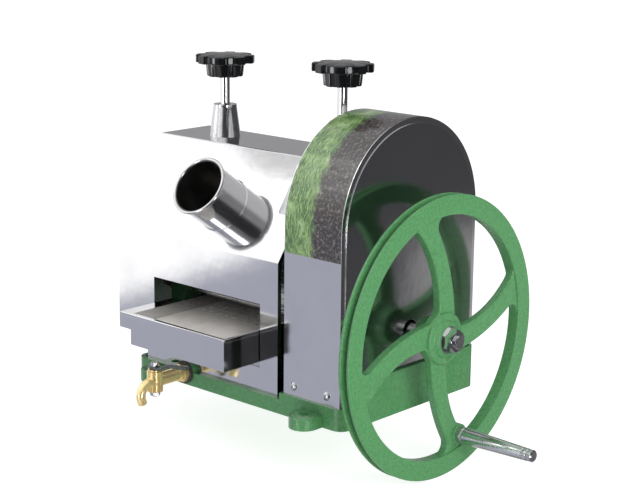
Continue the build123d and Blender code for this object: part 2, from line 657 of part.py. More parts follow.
def bull_gear():
    bore = GEAR_SEAT_RADIUS + SEATED
    half_step = 180.0 / BULL_TEETH
    wheel = gear(REDUCTION_MODULE, BULL_TEETH, REDUCTION_PLAY, -90 + half_step, BULL_LEFT, BULL_RIGHT, bore)
    hub = 26.0
    rim = REDUCTION_MODULE * BULL_TEETH / 2 - 16
    web = 10.0
    side = (BULL_WIDTH - web) / 2
    for x0, x1 in ((BULL_LEFT - 1, BULL_LEFT + side), (BULL_RIGHT - side, BULL_RIGHT + 1)):
        wheel -= rod_x(rim, x0, x1) - rod_x(hub, x0, x1)
    for number in range(6):
        wheel -= Pos(0, *polar((rim + hub) / 2, number * 60)[1:]) * rod_x(15, BULL_LEFT - 1, BULL_RIGHT + 1)
    wheel += rod_x(hub, BULL_RIGHT - 1, BULL_RIGHT + 8) - rod_x(bore, BULL_RIGHT - 2, BULL_RIGHT + 9)
    wheel -= key_slot(GEAR_SEAT_RADIUS, BULL_LEFT - 1, BULL_RIGHT + 9)
    return Pos(0, 0, TOP_Z) * wheel


def bull_gear_nut():
    x0 = BULL_RIGHT + 8
    nut = hexagon_x(24, x0, x0 + 9) - rod_x(8.0 + SEATED, x0 - 1, x0 + 10)
    return Pos(0, 0, TOP_Z) * nut


def top_block(x0, x1):
    """A sliding bearing block of the top roller."""
    body = block(x0, x1, -BLOCK_HALF, BLOCK_HALF, BLOCK_BOTTOM, BLOCK_TOP)
    body = fillet(body.edges().filter_by(Axis.X), 3)
    return body - rod_x(BUSH_OUTER + SEATED, x0 - 1, x1 + 1, 0, TOP_Z)


def top_bushes():
    bore = JOURNAL_RADIUS + RUNNING
    return [
        bush(bore, BUSH_OUTER, LEFT_CHEEK_OUT, LEFT_CHEEK_IN, 0, TOP_Z),
        bush(bore, BUSH_OUTER, RIGHT_CHEEK_OUT, RIGHT_CHEEK_IN, 0, TOP_Z),
    ]


# ---------------------------------------------------------------- pressure screws
def pressure_screw(x):
    foot = 12.0
    body = rod_z(SCREW_RADIUS, BLOCK_TOP, SCREW_TOP, x, 0)
    body += rod_z(foot, BLOCK_TOP, BLOCK_TOP + 5, x, 0)
    return chamfer(body.edges().group_by(Axis.Z)[-1], 1)


def star_knob(x, bottom):
    """A lobed hand knob, threaded on the screw's end."""
    rim_bottom = bottom + KNOB_HUB_HEIGHT
    scallop = 9.0
    star = Circle(KNOB_RADIUS)
    for number in range(KNOB_LOBES):
        star -= Rot(0, 0, number * 360 / KNOB_LOBES + 12) * Pos(KNOB_RADIUS + 3, 0) * Circle(scallop)
    star = fillet(star.vertices(), 4)
    body = extrude(star, KNOB_RIM_THICKNESS)
    body = fillet(body.edges().group_by(Axis.Z)[-1], 2.5)
    body = Pos(x, 0, rim_bottom) * body
    body += cone_z(KNOB_HUB_RADIUS - 2.5, KNOB_HUB_RADIUS, bottom, rim_bottom, x, 0)
    return body - rod_z(SCREW_RADIUS + SEATED, bottom - 1, SCREW_TOP, x, 0)


def tower(x):
    """The conical sleeve that stands on the cover round a pressure screw."""
    top = COVER_TOP + TOWER_HEIGHT
    body = cone_z(TOWER_BOTTOM_RADIUS, TOWER_TOP_RADIUS, COVER_TOP, top - 3, x, 0)
    body += rod_z(TOWER_TOP_RADIUS, top - 3.5, top, x, 0)
    return body - rod_z(SCREW_RADIUS + 0.6, COVER_TOP - 1, top + 1, x, 0)


# ---------------------------------------------------------------- drive and handwheel
def drive_shaft():
    pinion_x = (BULL_LEFT - 2, BULL_RIGHT + 2)
    profile = [
        (RIGHT_CHEEK_IN + 2, DRIVE_RADIUS),
        (HUB_BACK, DRIVE_RADIUS),
        (HUB_BACK, WHEEL_SEAT_RADIUS),
        (HUB_FRONT + 20, WHEEL_SEAT_RADIUS),
    ]
    shaft = turned_x(profile)
    shaft = chamfer(shaft.edges().sort_by(Axis.X)[-1], 1.2)
    shaft -= key_slot(DRIVE_RADIUS, *pinion_x)
    shaft -= key_slot(WHEEL_SEAT_RADIUS, HUB_BACK, HUB_FRONT)
    return Pos(0, 0, DRIVE_HEIGHT) * shaft


def drive_pinion():
    x0 = BULL_LEFT - 2
    x1 = BULL_RIGHT + 2
    wheel = gear(REDUCTION_MODULE, PINION_TEETH, REDUCTION_PLAY, 90, x0, x1, DRIVE_RADIUS + SEATED)
    wheel -= key_slot(DRIVE_RADIUS, x0 - 1, x1 + 1)
    return Pos(0, 0, DRIVE_HEIGHT) * wheel


def pinion_key():
    return key_slot(DRIVE_RADIUS, BULL_LEFT - 2, BULL_RIGHT + 2, 0, DRIVE_HEIGHT)


def bull_gear_key():
    return key_slot(GEAR_SEAT_RADIUS, BULL_LEFT, BULL_RIGHT + 8, 0, TOP_Z)


def wheel_key():
    return key_slot(WHEEL_SEAT_RADIUS, HUB_BACK, HUB_FRONT, 0, DRIVE_HEIGHT)


def wheel_outline():
    """Hub, swept spokes and the inside of the rim as one flat face in the YZ plane."""
    hub = Circle(HUB_RADIUS)
    band = Circle(WHEEL_RIM_INNER + 6) - Circle(WHEEL_RIM_INNER)
    spoke = make_face(
        [
            ThreePointArc((26.0, -25.0), (91.1, -12.8), (172.5, 29.0)),
            Line((172.5, 29.0), (162.5, 65.0)),
            ThreePointArc((162.5, 65.0), (96.5, 19.0), (33.0, 9.5)),
            Line((33.0, 9.5), (26.0, -25.0)),
        ]
    )
    outline = hub + band
    for number in range(SPOKES):
        outline += Rot(0, 0, number * 360 / SPOKES) * spoke
    corners = outline.vertices().filter_by(lambda v: abs(math.hypot(v.X, v.Y) - WHEEL_RIM_INNER) < 1.0)
    outline = fillet(corners, 14)
    corners = outline.vertices().filter_by(lambda v: abs(math.hypot(v.X, v.Y) - HUB_RADIUS) < 1.0)
    return fillet(corners, 9)


def handwheel():
    rim_back = WHEEL_FACE - WHEEL_RIM_WIDTH
    middle = WHEEL_FACE - WHEEL_RIM_WIDTH / 2
    floor_half = 2.5
    outline = [
        (rim_back, WHEEL_RIM_INNER),
        (rim_back, WHEEL_RADIUS),
        (rim_back + WHEEL_FLANGE, WHEEL_RADIUS),
        (middle - floor_half, WHEEL_GROOVE_RADIUS),
        (middle + floor_half, WHEEL_GROOVE_RADIUS),
        (WHEEL_FACE - WHEEL_FLANGE, WHEEL_RADIUS),
        (WHEEL_FACE, WHEEL_RADIUS),
        (WHEEL_FACE, WHEEL_RIM_INNER),
    ]
    rim = revolve(make_face(Polyline(*outline, close=True)), Axis.X)
    rim = fillet(rim.edges().filter_by(GeomType.CIRCLE), 1.4)
    web_back = middle - SPOKE_THICKNESS / 2
    yz = Plane(origin=(web_back, 0, 0), x_dir=(0, 1, 0), z_dir=(1, 0, 0))
    web = extrude(yz * wheel_outline(), amount=SPOKE_THICKNESS, dir=(1, 0, 0))
    faces = (web_back, web_back + SPOKE_THICKNESS)
    web = fillet(web.edges().filter_by(lambda e: min(abs(e.center().X - x) for x in faces) < 0.01), 2.2)
    body = rim + web
    body += turned_x(
        [
            (HUB_BACK, HUB_BOSS_RADIUS - 1),
            (HUB_BACK + 1, HUB_BOSS_RADIUS),
            (web_back - 4, HUB_BOSS_RADIUS + 4),
            (web_back - 2, HUB_RADIUS - 2),
            (WHEEL_FACE + 1, HUB_RADIUS - 1),
            (WHEEL_FACE + 2, HUB_RADIUS - 3),
            (WHEEL_FACE + 2, HUB_BOSS_RADIUS + 1),
            (HUB_FRONT - 1, HUB_BOSS_RADIUS),
            (HUB_FRONT, HUB_BOSS_RADIUS - 1),
        ]
    )
    body -= rod_x(WHEEL_SEAT_RADIUS + SEATED, HUB_BACK - 1, HUB_FRONT + 1)
    body -= key_slot(WHEEL_SEAT_RADIUS, HUB_BACK - 1, HUB_FRONT + 1)
    y = HANDLE_Y
    z = HANDLE_Z - DRIVE_HEIGHT
    body += rod_x(15, web_back - 2, WHEEL_FACE, y, z)
    body -= rod_x(SPINDLE_RADIUS + SEATED, web_back - 3, WHEEL_FACE + 1, y, z)
    return Pos(0, 0, DRIVE_HEIGHT) * body


def wheel_washer():
    bore = rod_x(WHEEL_SEAT_RADIUS + 0.2, HUB_FRONT - 1, HUB_FRONT + 3)
    ring = rod_x(19, HUB_FRONT, HUB_FRONT + 2.5) - bore
    return Pos(0, 0, DRIVE_HEIGHT) * ring


def wheel_nut():
    x0 = HUB_FRONT + 2.5
    nut = hexagon_x(30, x0, x0 + 14) & turned_x([(x0, 17.4), (x0 + 11.5, 17.4), (x0 + 14, 14.5)])
    nut -= rod_x(WHEEL_SEAT_RADIUS + SEATED, x0 - 1, x0 + 15)
    return Pos(0, 0, DRIVE_HEIGHT) * nut


def handle_spindle():
    """The fixed bolt in the wheel, round which the grip turns."""
    web_back = WHEEL_FACE - WHEEL_RIM_WIDTH / 2 - SPOKE_THICKNESS / 2
    end = WHEEL_FACE + HANDLE_LENGTH
    profile = [
        (web_back - 11, SPINDLE_RADIUS),
        (WHEEL_FACE, SPINDLE_RADIUS),
        (WHEEL_FACE, HANDLE_ROOT_RADIUS - 1),
        (WHEEL_FACE + 4, HANDLE_ROOT_RADIUS - 1),
        (WHEEL_FACE + 4, SPINDLE_RADIUS),
        (end - 2, SPINDLE_RADIUS),
    ]
    return turned_x(profile, HANDLE_Y, HANDLE_Z)


def spindle_nut():
    web_back = WHEEL_FACE - WHEEL_RIM_WIDTH / 2 - SPOKE_THICKNESS / 2 - 2
    nut = hexagon_x(17, web_back - 8, web_back, HANDLE_Y, HANDLE_Z)
    return nut - rod_x(SPINDLE_RADIUS + SEATED, web_back - 9, web_back + 1, HANDLE_Y, HANDLE_Z)


def handle_grip():
    x0 = WHEEL_FACE + 4 + APART
    x1 = WHEEL_FACE + HANDLE_LENGTH - 8 - APART
    grip = turned_x([(x0, HANDLE_ROOT_RADIUS), (x1, HANDLE_TIP_RADIUS)])
    grip = fillet(grip.edges().filter_by(GeomType.CIRCLE), 1)
    grip -= rod_x(SPINDLE_RADIUS + RUNNING, x0 - 1, x1 + 1)
    return Pos(0, HANDLE_Y, HANDLE_Z) * grip


def handle_end_nut():
    x1 = WHEEL_FACE + HANDLE_LENGTH
    barrel = HANDLE_TIP_RADIUS - 0.3
    nut = turned_x([(x1 - 8, barrel), (x1 - 1.5, barrel), (x1, HANDLE_TIP_RADIUS - 2)])
    nut -= rod_x(SPINDLE_RADIUS + SEATED, x1 - 9, x1 - 2)
    return Pos(0, HANDLE_Y, HANDLE_Z) * nut


# ---------------------------------------------------------------- covers
def main_cover():
    shell = cover_solid(0, COVER_LEFT, COVER_RIGHT) - cover_solid(SHEET, COVER_LEFT + SHEET, COVER_RIGHT + 1)
    turned_in = COVER_RIGHT - SHEET
    open_middle = prism_x(cover_outline(COVER_RETURN), turned_in - 1, COVER_RIGHT + 1)
    edge = cover_solid(0, turned_in, COVER_RIGHT) - open_middle
    half = COVER_TOP_HALF_DEPTH
    below_top = COVER_TOP - 2 * COVER_RETURN
    shell += edge - block(turned_in - 1, COVER_RIGHT + 1, -half, half, below_top, COVER_TOP + 1)
    shell -= block(TRAY_WINDOW_LEFT, TRAY_WINDOW_RIGHT, -150, -130, TRAY_WINDOW_BOTTOM, TRAY_WINDOW_TOP)
    shell -= on_feed_axis(Cylinder(FEED_TUBE_RADIUS + RUNNING, 40))
    depth = 10.0
    outlet = [
        slope_point(OUTLET_START, -depth, False),
        slope_point(OUTLET_START, depth, False),
        slope_point(OUTLET_END, depth, False),
        slope_point(OUTLET_END, -depth, False),
    ]
    shell -= prism_x(outlet, OUTLET_LEFT, OUTLET_RIGHT)
    for x in (LEFT_SCREW_X, RIGHT_SCREW_X):
        shell -= rod_z(13 + 0.5, COVER_TOP - 5, COVER_TOP + 5, x, 0)
    wall_end = -BASE_X + BASE_CORNER_RADIUS + 1
    shell -= block(COVER_LEFT - 1, wall_end, -150, 150, COVER_BOTTOM - 1, COVER_OVERHANG_BOTTOM)
    notch = 12.0
    shell -= rod_y(notch, -150, -130, TAP_X, TAP_HEIGHT)
    shell -= block(TAP_X - notch, TAP_X + notch, -150, -130, COVER_BOTTOM - 1, TAP_HEIGHT)
    for x in COVER_SCREW_X:
        shell -= rod_y(2.7, 130, 150, x, COVER_SCREW_Z)
    return shell


def cover_screws():
    group = []
    for x in COVER_SCREW_X:
        face = COVER_HALF_DEPTH
        screw = rod_y(2.4, face - SHEET - 6, face, x, COVER_SCREW_Z)
        head = rod_y(5.5, face, face + 3, x, COVER_SCREW_Z)
        group.append(screw + fillet(head.edges().group_by(Axis.Y)[-1], 2))
    return group


def bagasse_chute():
    """The sheet that carries crushed cane from the second nip over the outlet's lower edge."""
    clear = ROLLER_RADIUS + 2.0
    angle = math.radians(48)
    inner = (LOW_Y + clear * math.cos(angle), LOW_Z + clear * math.sin(angle))
    edge = slope_point(OUTLET_START, 0, False)
    hem = slope_point(OUTLET_START - 13, 0, False)
    hem_out = slope_point(OUTLET_START - 13, SHEET, False)
    bend_out = slope_point(OUTLET_START + 1.5, SHEET, False)
    above = slope_point(OUTLET_START, -SHEET, False)
    outline = [inner, above, edge, hem, hem_out, bend_out, (inner[0] - 0.6, inner[1] + SHEET)]
    return prism_x(outline, OUTLET_LEFT + 1, OUTLET_RIGHT - 1)


def arch(inset, x0, x1, bottom=GEAR_BAY_WALL_TOP):
    """The gear cover's outline as a solid: straight sides under a half round."""
    radius = GEAR_COVER_RADIUS - inset
    body = block(x0, x1, -radius, radius, bottom, GEAR_COVER_SPRING)
    return body + rod_x(radius, x0, x1, 0, GEAR_COVER_SPRING)


def gear_cover_band():
    inside = arch(SHEET, GEAR_COVER_LEFT - 1, GEAR_COVER_RIGHT - SHEET, 0)
    body = arch(0, GEAR_COVER_LEFT, GEAR_COVER_RIGHT) - inside
    body -= arch(GEAR_COVER_FLANGE, GEAR_COVER_RIGHT - 5, GEAR_COVER_RIGHT + 1, 0)
    for x in GEAR_SCREW_X:
        body -= rod_y(3.2, -160, 160, x, GEAR_SCREW_Z)
    return body


def gear_cover_face():
    x0 = GEAR_COVER_RIGHT
    body = arch(FACE_PLATE_INSET, x0, x0 + SHEET)
    return body - rod_x(DRIVE_RADIUS + 4, x0 - 1, x0 + 3, 0, DRIVE_HEIGHT)


def gear_cover_back():
    x0 = GEAR_COVER_LEFT
    body = arch(SHEET, x0, x0 + SHEET, GEAR_BAY_WALL_TOP + 8)
    body -= rod_x(JOURNAL_RADIUS + 8, x0 - 1, x0 + 3, 0, TOP_Z)
    return body - rod_x(DRIVE_BUSH_OUTER + 8, x0 - 1, x0 + 3, 0, DRIVE_HEIGHT)


def gear_cover_screws():
    group = []
    for side in (-1, 1):
        face = side * GEAR_COVER_RADIUS
        inside = face - side * (SHEET + 6)
        out = face + side * 3.4
        for x in GEAR_SCREW_X:
            head = rod_y(6, min(face, out), max(face, out), x, GEAR_SCREW_Z)
            crown = head.edges().group_by(Axis.Y)[-1 if side > 0 else 0]
            shank = rod_y(2.4, min(face, inside), max(face, inside), x, GEAR_SCREW_Z)
            group.append(fillet(crown, 2.6) + shank)
    return group


# ---------------------------------------------------------------- feed tube
def feed_tube():
    """The tube with its rolled mouth and the weld bead that holds it on the cover."""
    height = FEED_TUBE_INSIDE + FEED_TUBE_OUTSIDE
    middle = (FEED_TUBE_OUTSIDE - FEED_TUBE_INSIDE) / 2
    tube = Pos(0, 0, middle) * Cylinder(FEED_TUBE_RADIUS, height)
    bead = Cone(FEED_TUBE_RADIUS + FEED_WELD, FEED_TUBE_RADIUS, FEED_WELD)
    tube += Pos(0, 0, FEED_WELD / 2 + 2 * RUNNING) * bead
    tube -= Pos(0, 0, middle) * Cylinder(FEED_TUBE_RADIUS - SHEET, height + 2)
    lip = Torus(FEED_TUBE_RADIUS - SHEET / 2 + FEED_LIP, FEED_LIP)
    return on_feed_axis(tube + Pos(0, 0, FEED_TUBE_OUTSIDE) * lip)


# ---------------------------------------------------------------- tray and pan
def strainer_tray():
    rim = TRAY_TOP - PAN_SHEET
    body = block(TRAY_LEFT, TRAY_RIGHT, TRAY_FRONT, TRAY_BACK, TRAY_BOTTOM, TRAY_TOP)
    body -= block(
        TRAY_LEFT + PAN_SHEET, TRAY_RIGHT - PAN_SHEET, TRAY_FRONT + PAN_SHEET, TRAY_BACK - PAN_SHEET,
        TRAY_BOTTOM + PAN_SHEET, TRAY_TOP + 1,
    )
    body += block(TRAY_LEFT - TRAY_WING, TRAY_LEFT + 1, TRAY_FRONT, -CHEEK_HALF_FOOT - 6, rim, TRAY_TOP)
    body += block(TRAY_LEFT, TRAY_RIGHT, TRAY_FRONT, TRAY_FRONT + 5, rim, TRAY_TOP)
    body += block(TRAY_RIGHT - 4, TRAY_RIGHT, TRAY_FRONT, TRAY_BACK, rim, TRAY_TOP)
    ledge = 6.0
    for x0, x1 in ((TRAY_LEFT + 1, TRAY_LEFT + ledge), (TRAY_RIGHT - ledge, TRAY_RIGHT - 1)):
        body += block(x0, x1, TRAY_FRONT + 1, TRAY_BACK - 1, STRAINER_LEVEL - PAN_SHEET, STRAINER_LEVEL)
    middle = (TRAY_LEFT + TRAY_RIGHT) / 2
    return body - rod_z(15, TRAY_BOTTOM - 1, TRAY_BOTTOM + 3, middle, 0)


def strainer_plate():
    middle = (TRAY_LEFT + TRAY_RIGHT) / 2
    gap = PAN_SHEET + 0.2
    plate = block(
        TRAY_LEFT + gap, TRAY_RIGHT - gap, TRAY_FRONT + gap, TRAY_BACK - gap,
        STRAINER_LEVEL, STRAINER_LEVEL + PAN_SHEET,
    )
    holes = [
        place * Cylinder(STRAINER_HOLE_RADIUS, 6)
        for place in GridLocations(STRAINER_PITCH, STRAINER_PITCH, STRAINER_COLUMNS, STRAINER_ROWS)
    ]
    return plate - [Pos(middle, 0, STRAINER_LEVEL) * hole for hole in holes]


def juice_pan():
    body = block(PAN_LEFT, PAN_RIGHT, PAN_FRONT, PAN_BACK, BASE_FLOOR, PAN_TOP)
    body -= block(
        PAN_LEFT + PAN_SHEET, PAN_RIGHT - PAN_SHEET, PAN_FRONT + PAN_SHEET, PAN_BACK - PAN_SHEET,
        BASE_FLOOR + PAN_SHEET, PAN_TOP + 1,
    )
    rim = PAN_TOP - PAN_SHEET
    hem = 16.0
    body += block(PAN_LEFT, PAN_LEFT + hem, PAN_FRONT, PAN_BACK, rim, PAN_TOP)
    body += block(PAN_RIGHT - hem, PAN_RIGHT, PAN_FRONT, PAN_BACK, rim, PAN_TOP)
    return body - rod_y(TAP_SHANK_RADIUS + 0.1, PAN_FRONT - 1, PAN_FRONT + 3, TAP_X, TAP_HEIGHT)


# ---------------------------------------------------------------- tap
def tap_washer():
    y0 = -BASE_Y - 3
    ring = rod_y(TAP_WASHER_RADIUS, y0, -BASE_Y, TAP_X, TAP_HEIGHT)
    return ring - rod_y(TAP_SHANK_RADIUS + 0.1, y0 - 1, -BASE_Y + 1, TAP_X, TAP_HEIGHT)


def tap_body():
    wall = -BASE_Y - 3
    inner_end = PAN_FRONT + PAN_SHEET + 9
    hex_end = wall - 7
    body = rod_y(TAP_SHANK_RADIUS, wall, inner_end, TAP_X, TAP_HEIGHT)
    body += hexagon_y(24, hex_end, wall, TAP_X, TAP_HEIGHT)
    body += rod_y(10, TAP_PLUG_Y, hex_end, TAP_X, TAP_HEIGHT)
    body += rod_y(11.5, hex_end - 6, hex_end, TAP_X, TAP_HEIGHT)
    body += rod_z(11.5, TAP_HEIGHT - 15, TAP_HEIGHT + 15, TAP_X, TAP_PLUG_Y)
    start = (TAP_X, TAP_PLUG_Y, TAP_HEIGHT)
    knee = (TAP_X, TAP_PLUG_Y - TAP_SPOUT_REACH * 0.35, TAP_HEIGHT)
    low = (TAP_X, TAP_PLUG_Y - TAP_SPOUT_REACH, TAP_HEIGHT - TAP_SPOUT_DROP + 5)
    bend = TangentArc(knee, low, tangent=(0, -1, 0))
    path = Wire([Line(start, knee), bend, Line(low, low + (bend % 1) * 5)])
    square = Plane(origin=start, z_dir=(0, -1, 0))
    body += sweep(square * Circle(TAP_SPOUT_RADIUS), path)
    body -= sweep(square * Circle(TAP_BORE_RADIUS), path)
    body -= rod_y(TAP_BORE_RADIUS, TAP_PLUG_Y, inner_end + 1, TAP_X, TAP_HEIGHT)
    return body - rod_z(TAP_PLUG_RADIUS + RUNNING, TAP_HEIGHT - 16, TAP_HEIGHT + 16, TAP_X, TAP_PLUG_Y)


def tap_plug():
    """The turning plug. Its cross hole lies across the body when the tap is shut."""
    body = rod_z(TAP_PLUG_RADIUS, TAP_HEIGHT - 15 - APART, TAP_HEIGHT + 15 + APART, TAP_X, TAP_PLUG_Y)
    body += rod_z(9.5, TAP_HEIGHT + 15 + APART, TAP_HEIGHT + 18, TAP_X, TAP_PLUG_Y)
    body += rod_z(4, TAP_HEIGHT - 23, TAP_HEIGHT - 10, TAP_X, TAP_PLUG_Y)
    body += rod_z(4, TAP_HEIGHT + 17, TAP_HEIGHT + 27, TAP_X, TAP_PLUG_Y)
    return body - rod_x(TAP_BORE_RADIUS, TAP_X - 20, TAP_X + 20, TAP_PLUG_Y, TAP_HEIGHT)


def tap_plug_nut():
    z1 = TAP_HEIGHT - 15 - APART
    nut = hexagon_z(13, z1 - 6, z1, TAP_X, TAP_PLUG_Y)
    return nut - rod_z(4 + SEATED, z1 - 7, z1 + 1, TAP_X, TAP_PLUG_Y)


def tap_lever():
    """The lever, square to the tap's body when the tap is shut."""
    z0 = TAP_HEIGHT + 18
    thick = 4.5
    reach = TAP_LEVER_LENGTH
    rise = TAP_LEVER_RISE
    side = [(-9, z0), (12, z0), (30, z0 + rise - 5), (reach, z0 + rise)]
    side += [(reach, z0 + rise + thick), (28, z0 + rise - 5 + thick), (10, z0 + thick), (-9, z0 + thick)]
    outline = Polyline(*[(TAP_X + x, 0, z) for x, z in side], close=True)
    bar = extrude(make_face(outline), amount=6, dir=(0, 1, 0), both=True)
    bar = Pos(0, TAP_PLUG_Y, 0) * bar
    middle = TAP_X + reach / 2 - 4.5
    half_bar = reach / 2 + 4.5
    ends = bar.edges().filter_by(lambda e: abs(abs(e.center().X - middle) - half_bar) < 0.1)
    ends = ends.filter_by(Axis.Z)
    bar = fillet(ends, 5)
    return bar - rod_z(4 + SEATED, z0 - 1, z0 + 8, TAP_X, TAP_PLUG_Y)


def tap_lever_nut():
    z0 = TAP_HEIGHT + 18 + 4.5
    nut = hexagon_z(11, z0, z0 + 5, TAP_X, TAP_PLUG_Y)
    return nut - rod_z(4 + SEATED, z0 - 1, z0 + 6, TAP_X, TAP_PLUG_Y)


def tap_locknut():
    y0 = PAN_FRONT + PAN_SHEET
    nut = hexagon_y(19, y0, y0 + 6, TAP_X, TAP_HEIGHT)
    return nut - rod_y(TAP_SHANK_RADIUS + SEATED, y0 - 1, y0 + 7, TAP_X, TAP_HEIGHT)


# ---------------------------------------------------------------- write every piece
def pieces():
    """Every node's name with its solid, or its group of like solids."""
    top_first = -90.0
    front_first = lower_first_tooth(-1)
    rear_first = lower_first_tooth(1)
    at_top = Pos(0, 0, TOP_Z)
    at_front = Pos(0, -LOW_Y, LOW_Z)
    at_rear = Pos(0, LOW_Y, LOW_Z)
    return {
        "base_casting": base_casting(),
        "left_cheek": cheek(LEFT_CHEEK_IN, LEFT_CHEEK_OUT),
        "right_cheek": cheek(RIGHT_CHEEK_IN, RIGHT_CHEEK_OUT),
        "left_cap": cap(LEFT_CHEEK_OUT, LEFT_CHEEK_IN, LEFT_SCREW_X),
        "right_cap": cap(RIGHT_CHEEK_IN, RIGHT_CHEEK_OUT, RIGHT_SCREW_X),
        "outer_pedestal": pedestal(),
        "foot_bolts": cheek_bolts() + pedestal_bolts(),
        "cap_bolts": cap_bolts(),
        "tie_bars": tie_bars(),
        "tie_nuts": tie_nuts(),
        "lower_roller_bushes": lower_bushes(),
        "drive_shaft_bushes": drive_bushes(),
        "trash_plate": trash_plate(),
        "top_roller": at_top * roller(),
        "front_roller": at_front * roller(),
        "rear_roller": at_rear * roller(),
        "top_roller_shaft": top_shaft(),
        "front_roller_shaft": lower_shaft(-LOW_Y),
        "rear_roller_shaft": lower_shaft(LOW_Y),
        "top_roller_gear": at_top * roller_gear(top_first),
        "front_roller_gear": at_front * roller_gear(front_first),
        "rear_roller_gear": at_rear * roller_gear(rear_first),
        "bull_gear": bull_gear(),
        "top_shaft_nuts": [at_top * roller_gear_nut(), bull_gear_nut()],
        "top_shaft_keys": [bull_gear_key(), at_top * roller_gear_key()],
        "front_gear_fixings": [at_front * roller_gear_key(), at_front * roller_gear_nut()],
        "rear_gear_fixings": [at_rear * roller_gear_key(), at_rear * roller_gear_nut()],
        "left_bearing_block": top_block(LEFT_CHEEK_OUT, LEFT_CHEEK_IN),
        "right_bearing_block": top_block(RIGHT_CHEEK_IN, RIGHT_CHEEK_OUT),
        "top_roller_bushes": top_bushes(),
        "left_pressure_screw": pressure_screw(LEFT_SCREW_X),
        "right_pressure_screw": pressure_screw(RIGHT_SCREW_X),
        "left_star_knob": star_knob(LEFT_SCREW_X, LEFT_KNOB_BOTTOM),
        "right_star_knob": star_knob(RIGHT_SCREW_X, RIGHT_KNOB_BOTTOM),
        "screw_sleeves": [tower(LEFT_SCREW_X), tower(RIGHT_SCREW_X)],
        "drive_shaft": drive_shaft(),
        "drive_pinion": drive_pinion(),
        "drive_shaft_keys": [pinion_key(), wheel_key()],
        "handwheel": handwheel(),
        "wheel_nut": [wheel_washer(), wheel_nut()],
        "handle_spindle": handle_spindle(),
        "spindle_nuts": [spindle_nut(), handle_end_nut()],
        "handle_grip": handle_grip(),
        "main_cover": main_cover(),
        "bagasse_chute": bagasse_chute(),
        "gear_cover_band": gear_cover_band(),
        "gear_cover_face": gear_cover_face(),
        "gear_cover_back": gear_cover_back(),
        "cover_screws": cover_screws() + gear_cover_screws(),
        "feed_tube": feed_tube(),
        "strainer_tray": strainer_tray(),
        "strainer_plate": strainer_plate(),
        "juice_pan": juice_pan(),
        "tap_body": tap_body(),
    } | tap_pieces()


def tap_pieces():
    return {
        "tap_washer": tap_washer(),
        "tap_locknut": tap_locknut(),
        "tap_plug": tap_plug(),
        "tap_lever": tap_lever(),
        "tap_nuts": [tap_plug_nut(), tap_lever_nut()],
    }


os.makedirs("parts", exist_ok=True)
for name, piece in pieces().items():
    if isinstance(piece, list):
        piece = Compound(children=[part.solid() for part in piece])
    export_step(piece, f"parts/{name}.step")
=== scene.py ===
"""Looks of a hand-cranked sugarcane juicer: castings, polished covers, knobs, tap and tray."""

import json
import math

import bmesh
import bpy
import numpy as np
from bpy.props import FloatProperty, FloatVectorProperty, IntProperty, PointerProperty
from bpy.types import Operator, Panel, PropertyGroup
from mathutils import Matrix, Vector


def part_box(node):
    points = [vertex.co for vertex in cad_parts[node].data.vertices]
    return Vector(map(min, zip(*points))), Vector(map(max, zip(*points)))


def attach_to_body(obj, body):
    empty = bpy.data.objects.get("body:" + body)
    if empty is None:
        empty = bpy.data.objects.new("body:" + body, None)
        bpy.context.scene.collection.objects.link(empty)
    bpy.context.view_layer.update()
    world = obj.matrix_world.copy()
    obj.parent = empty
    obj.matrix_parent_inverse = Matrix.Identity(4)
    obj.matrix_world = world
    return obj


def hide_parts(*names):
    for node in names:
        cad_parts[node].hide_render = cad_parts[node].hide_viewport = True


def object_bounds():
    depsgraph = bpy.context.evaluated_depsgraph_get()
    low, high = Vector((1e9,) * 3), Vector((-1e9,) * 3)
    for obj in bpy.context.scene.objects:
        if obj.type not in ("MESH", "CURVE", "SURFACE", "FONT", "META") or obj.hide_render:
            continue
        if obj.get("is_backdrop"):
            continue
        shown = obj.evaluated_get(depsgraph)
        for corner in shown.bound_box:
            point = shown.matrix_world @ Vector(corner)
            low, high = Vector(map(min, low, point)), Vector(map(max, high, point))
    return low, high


bl_info = {
    "name": "Sugarcane Juicer",
    "version": (1, 0, 0),
    "blender": (4, 5, 0),
    "location": "3D View > Sidebar > Juicer",
    "description": "Finishes the packed juicer model with its materials and surface pieces",
    "category": "Object",
}

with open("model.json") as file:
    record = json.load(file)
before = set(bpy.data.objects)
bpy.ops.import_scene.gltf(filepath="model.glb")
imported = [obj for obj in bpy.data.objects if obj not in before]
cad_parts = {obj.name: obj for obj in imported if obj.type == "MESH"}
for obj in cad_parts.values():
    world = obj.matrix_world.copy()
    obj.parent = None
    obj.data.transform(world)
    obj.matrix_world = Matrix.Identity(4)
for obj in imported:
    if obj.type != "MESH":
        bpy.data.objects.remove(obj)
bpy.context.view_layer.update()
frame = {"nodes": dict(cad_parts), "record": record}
SLOT_OF = {part["node"]: part["material_slot"] for part in frame["record"]["subparts"]}
BODY_OF = {
    node: body for body, nodes in frame["record"]["behaviour"]["bodies"].items() for node in nodes
}

# Places of CAD features that the pieces and finishes meet, in metres
FEED_SLOPE = math.radians(34.7)
FEED_TUBE_PLACE = (-0.064, -0.1030, 0.2672)
FEED_TUBE_WALL = (0.0394, 0.0402)  # from the dull bore, painted dark as shade, to the polished outside
SLOPE_FOOT, SLOPE_TOP = (-0.141, 0.212), (-0.050, 0.344)  # (y, z) of the cover's front slope
GEAR_SCREWS_X = (0.1145, 0.1755)
BACK_SCREWS_X = (-0.120, 0.020)
LEVER_STEM_X = -0.100

CAST_EDGE = 0.0012  # radius of the softened edges of castings
FINE_LINES = 0.00002  # relief of drawn lines in a sheet


# ------------------------------------------------------------------ settings
def colour_setting(name, description, value):
    """A colour that the user can change."""
    return FloatVectorProperty(name=name, description=description, subtype="COLOR", default=value)


def length_setting(name, description, value):
    """A length that the user can change, in metres."""
    return FloatProperty(name=name, description=description, unit="LENGTH", default=value)


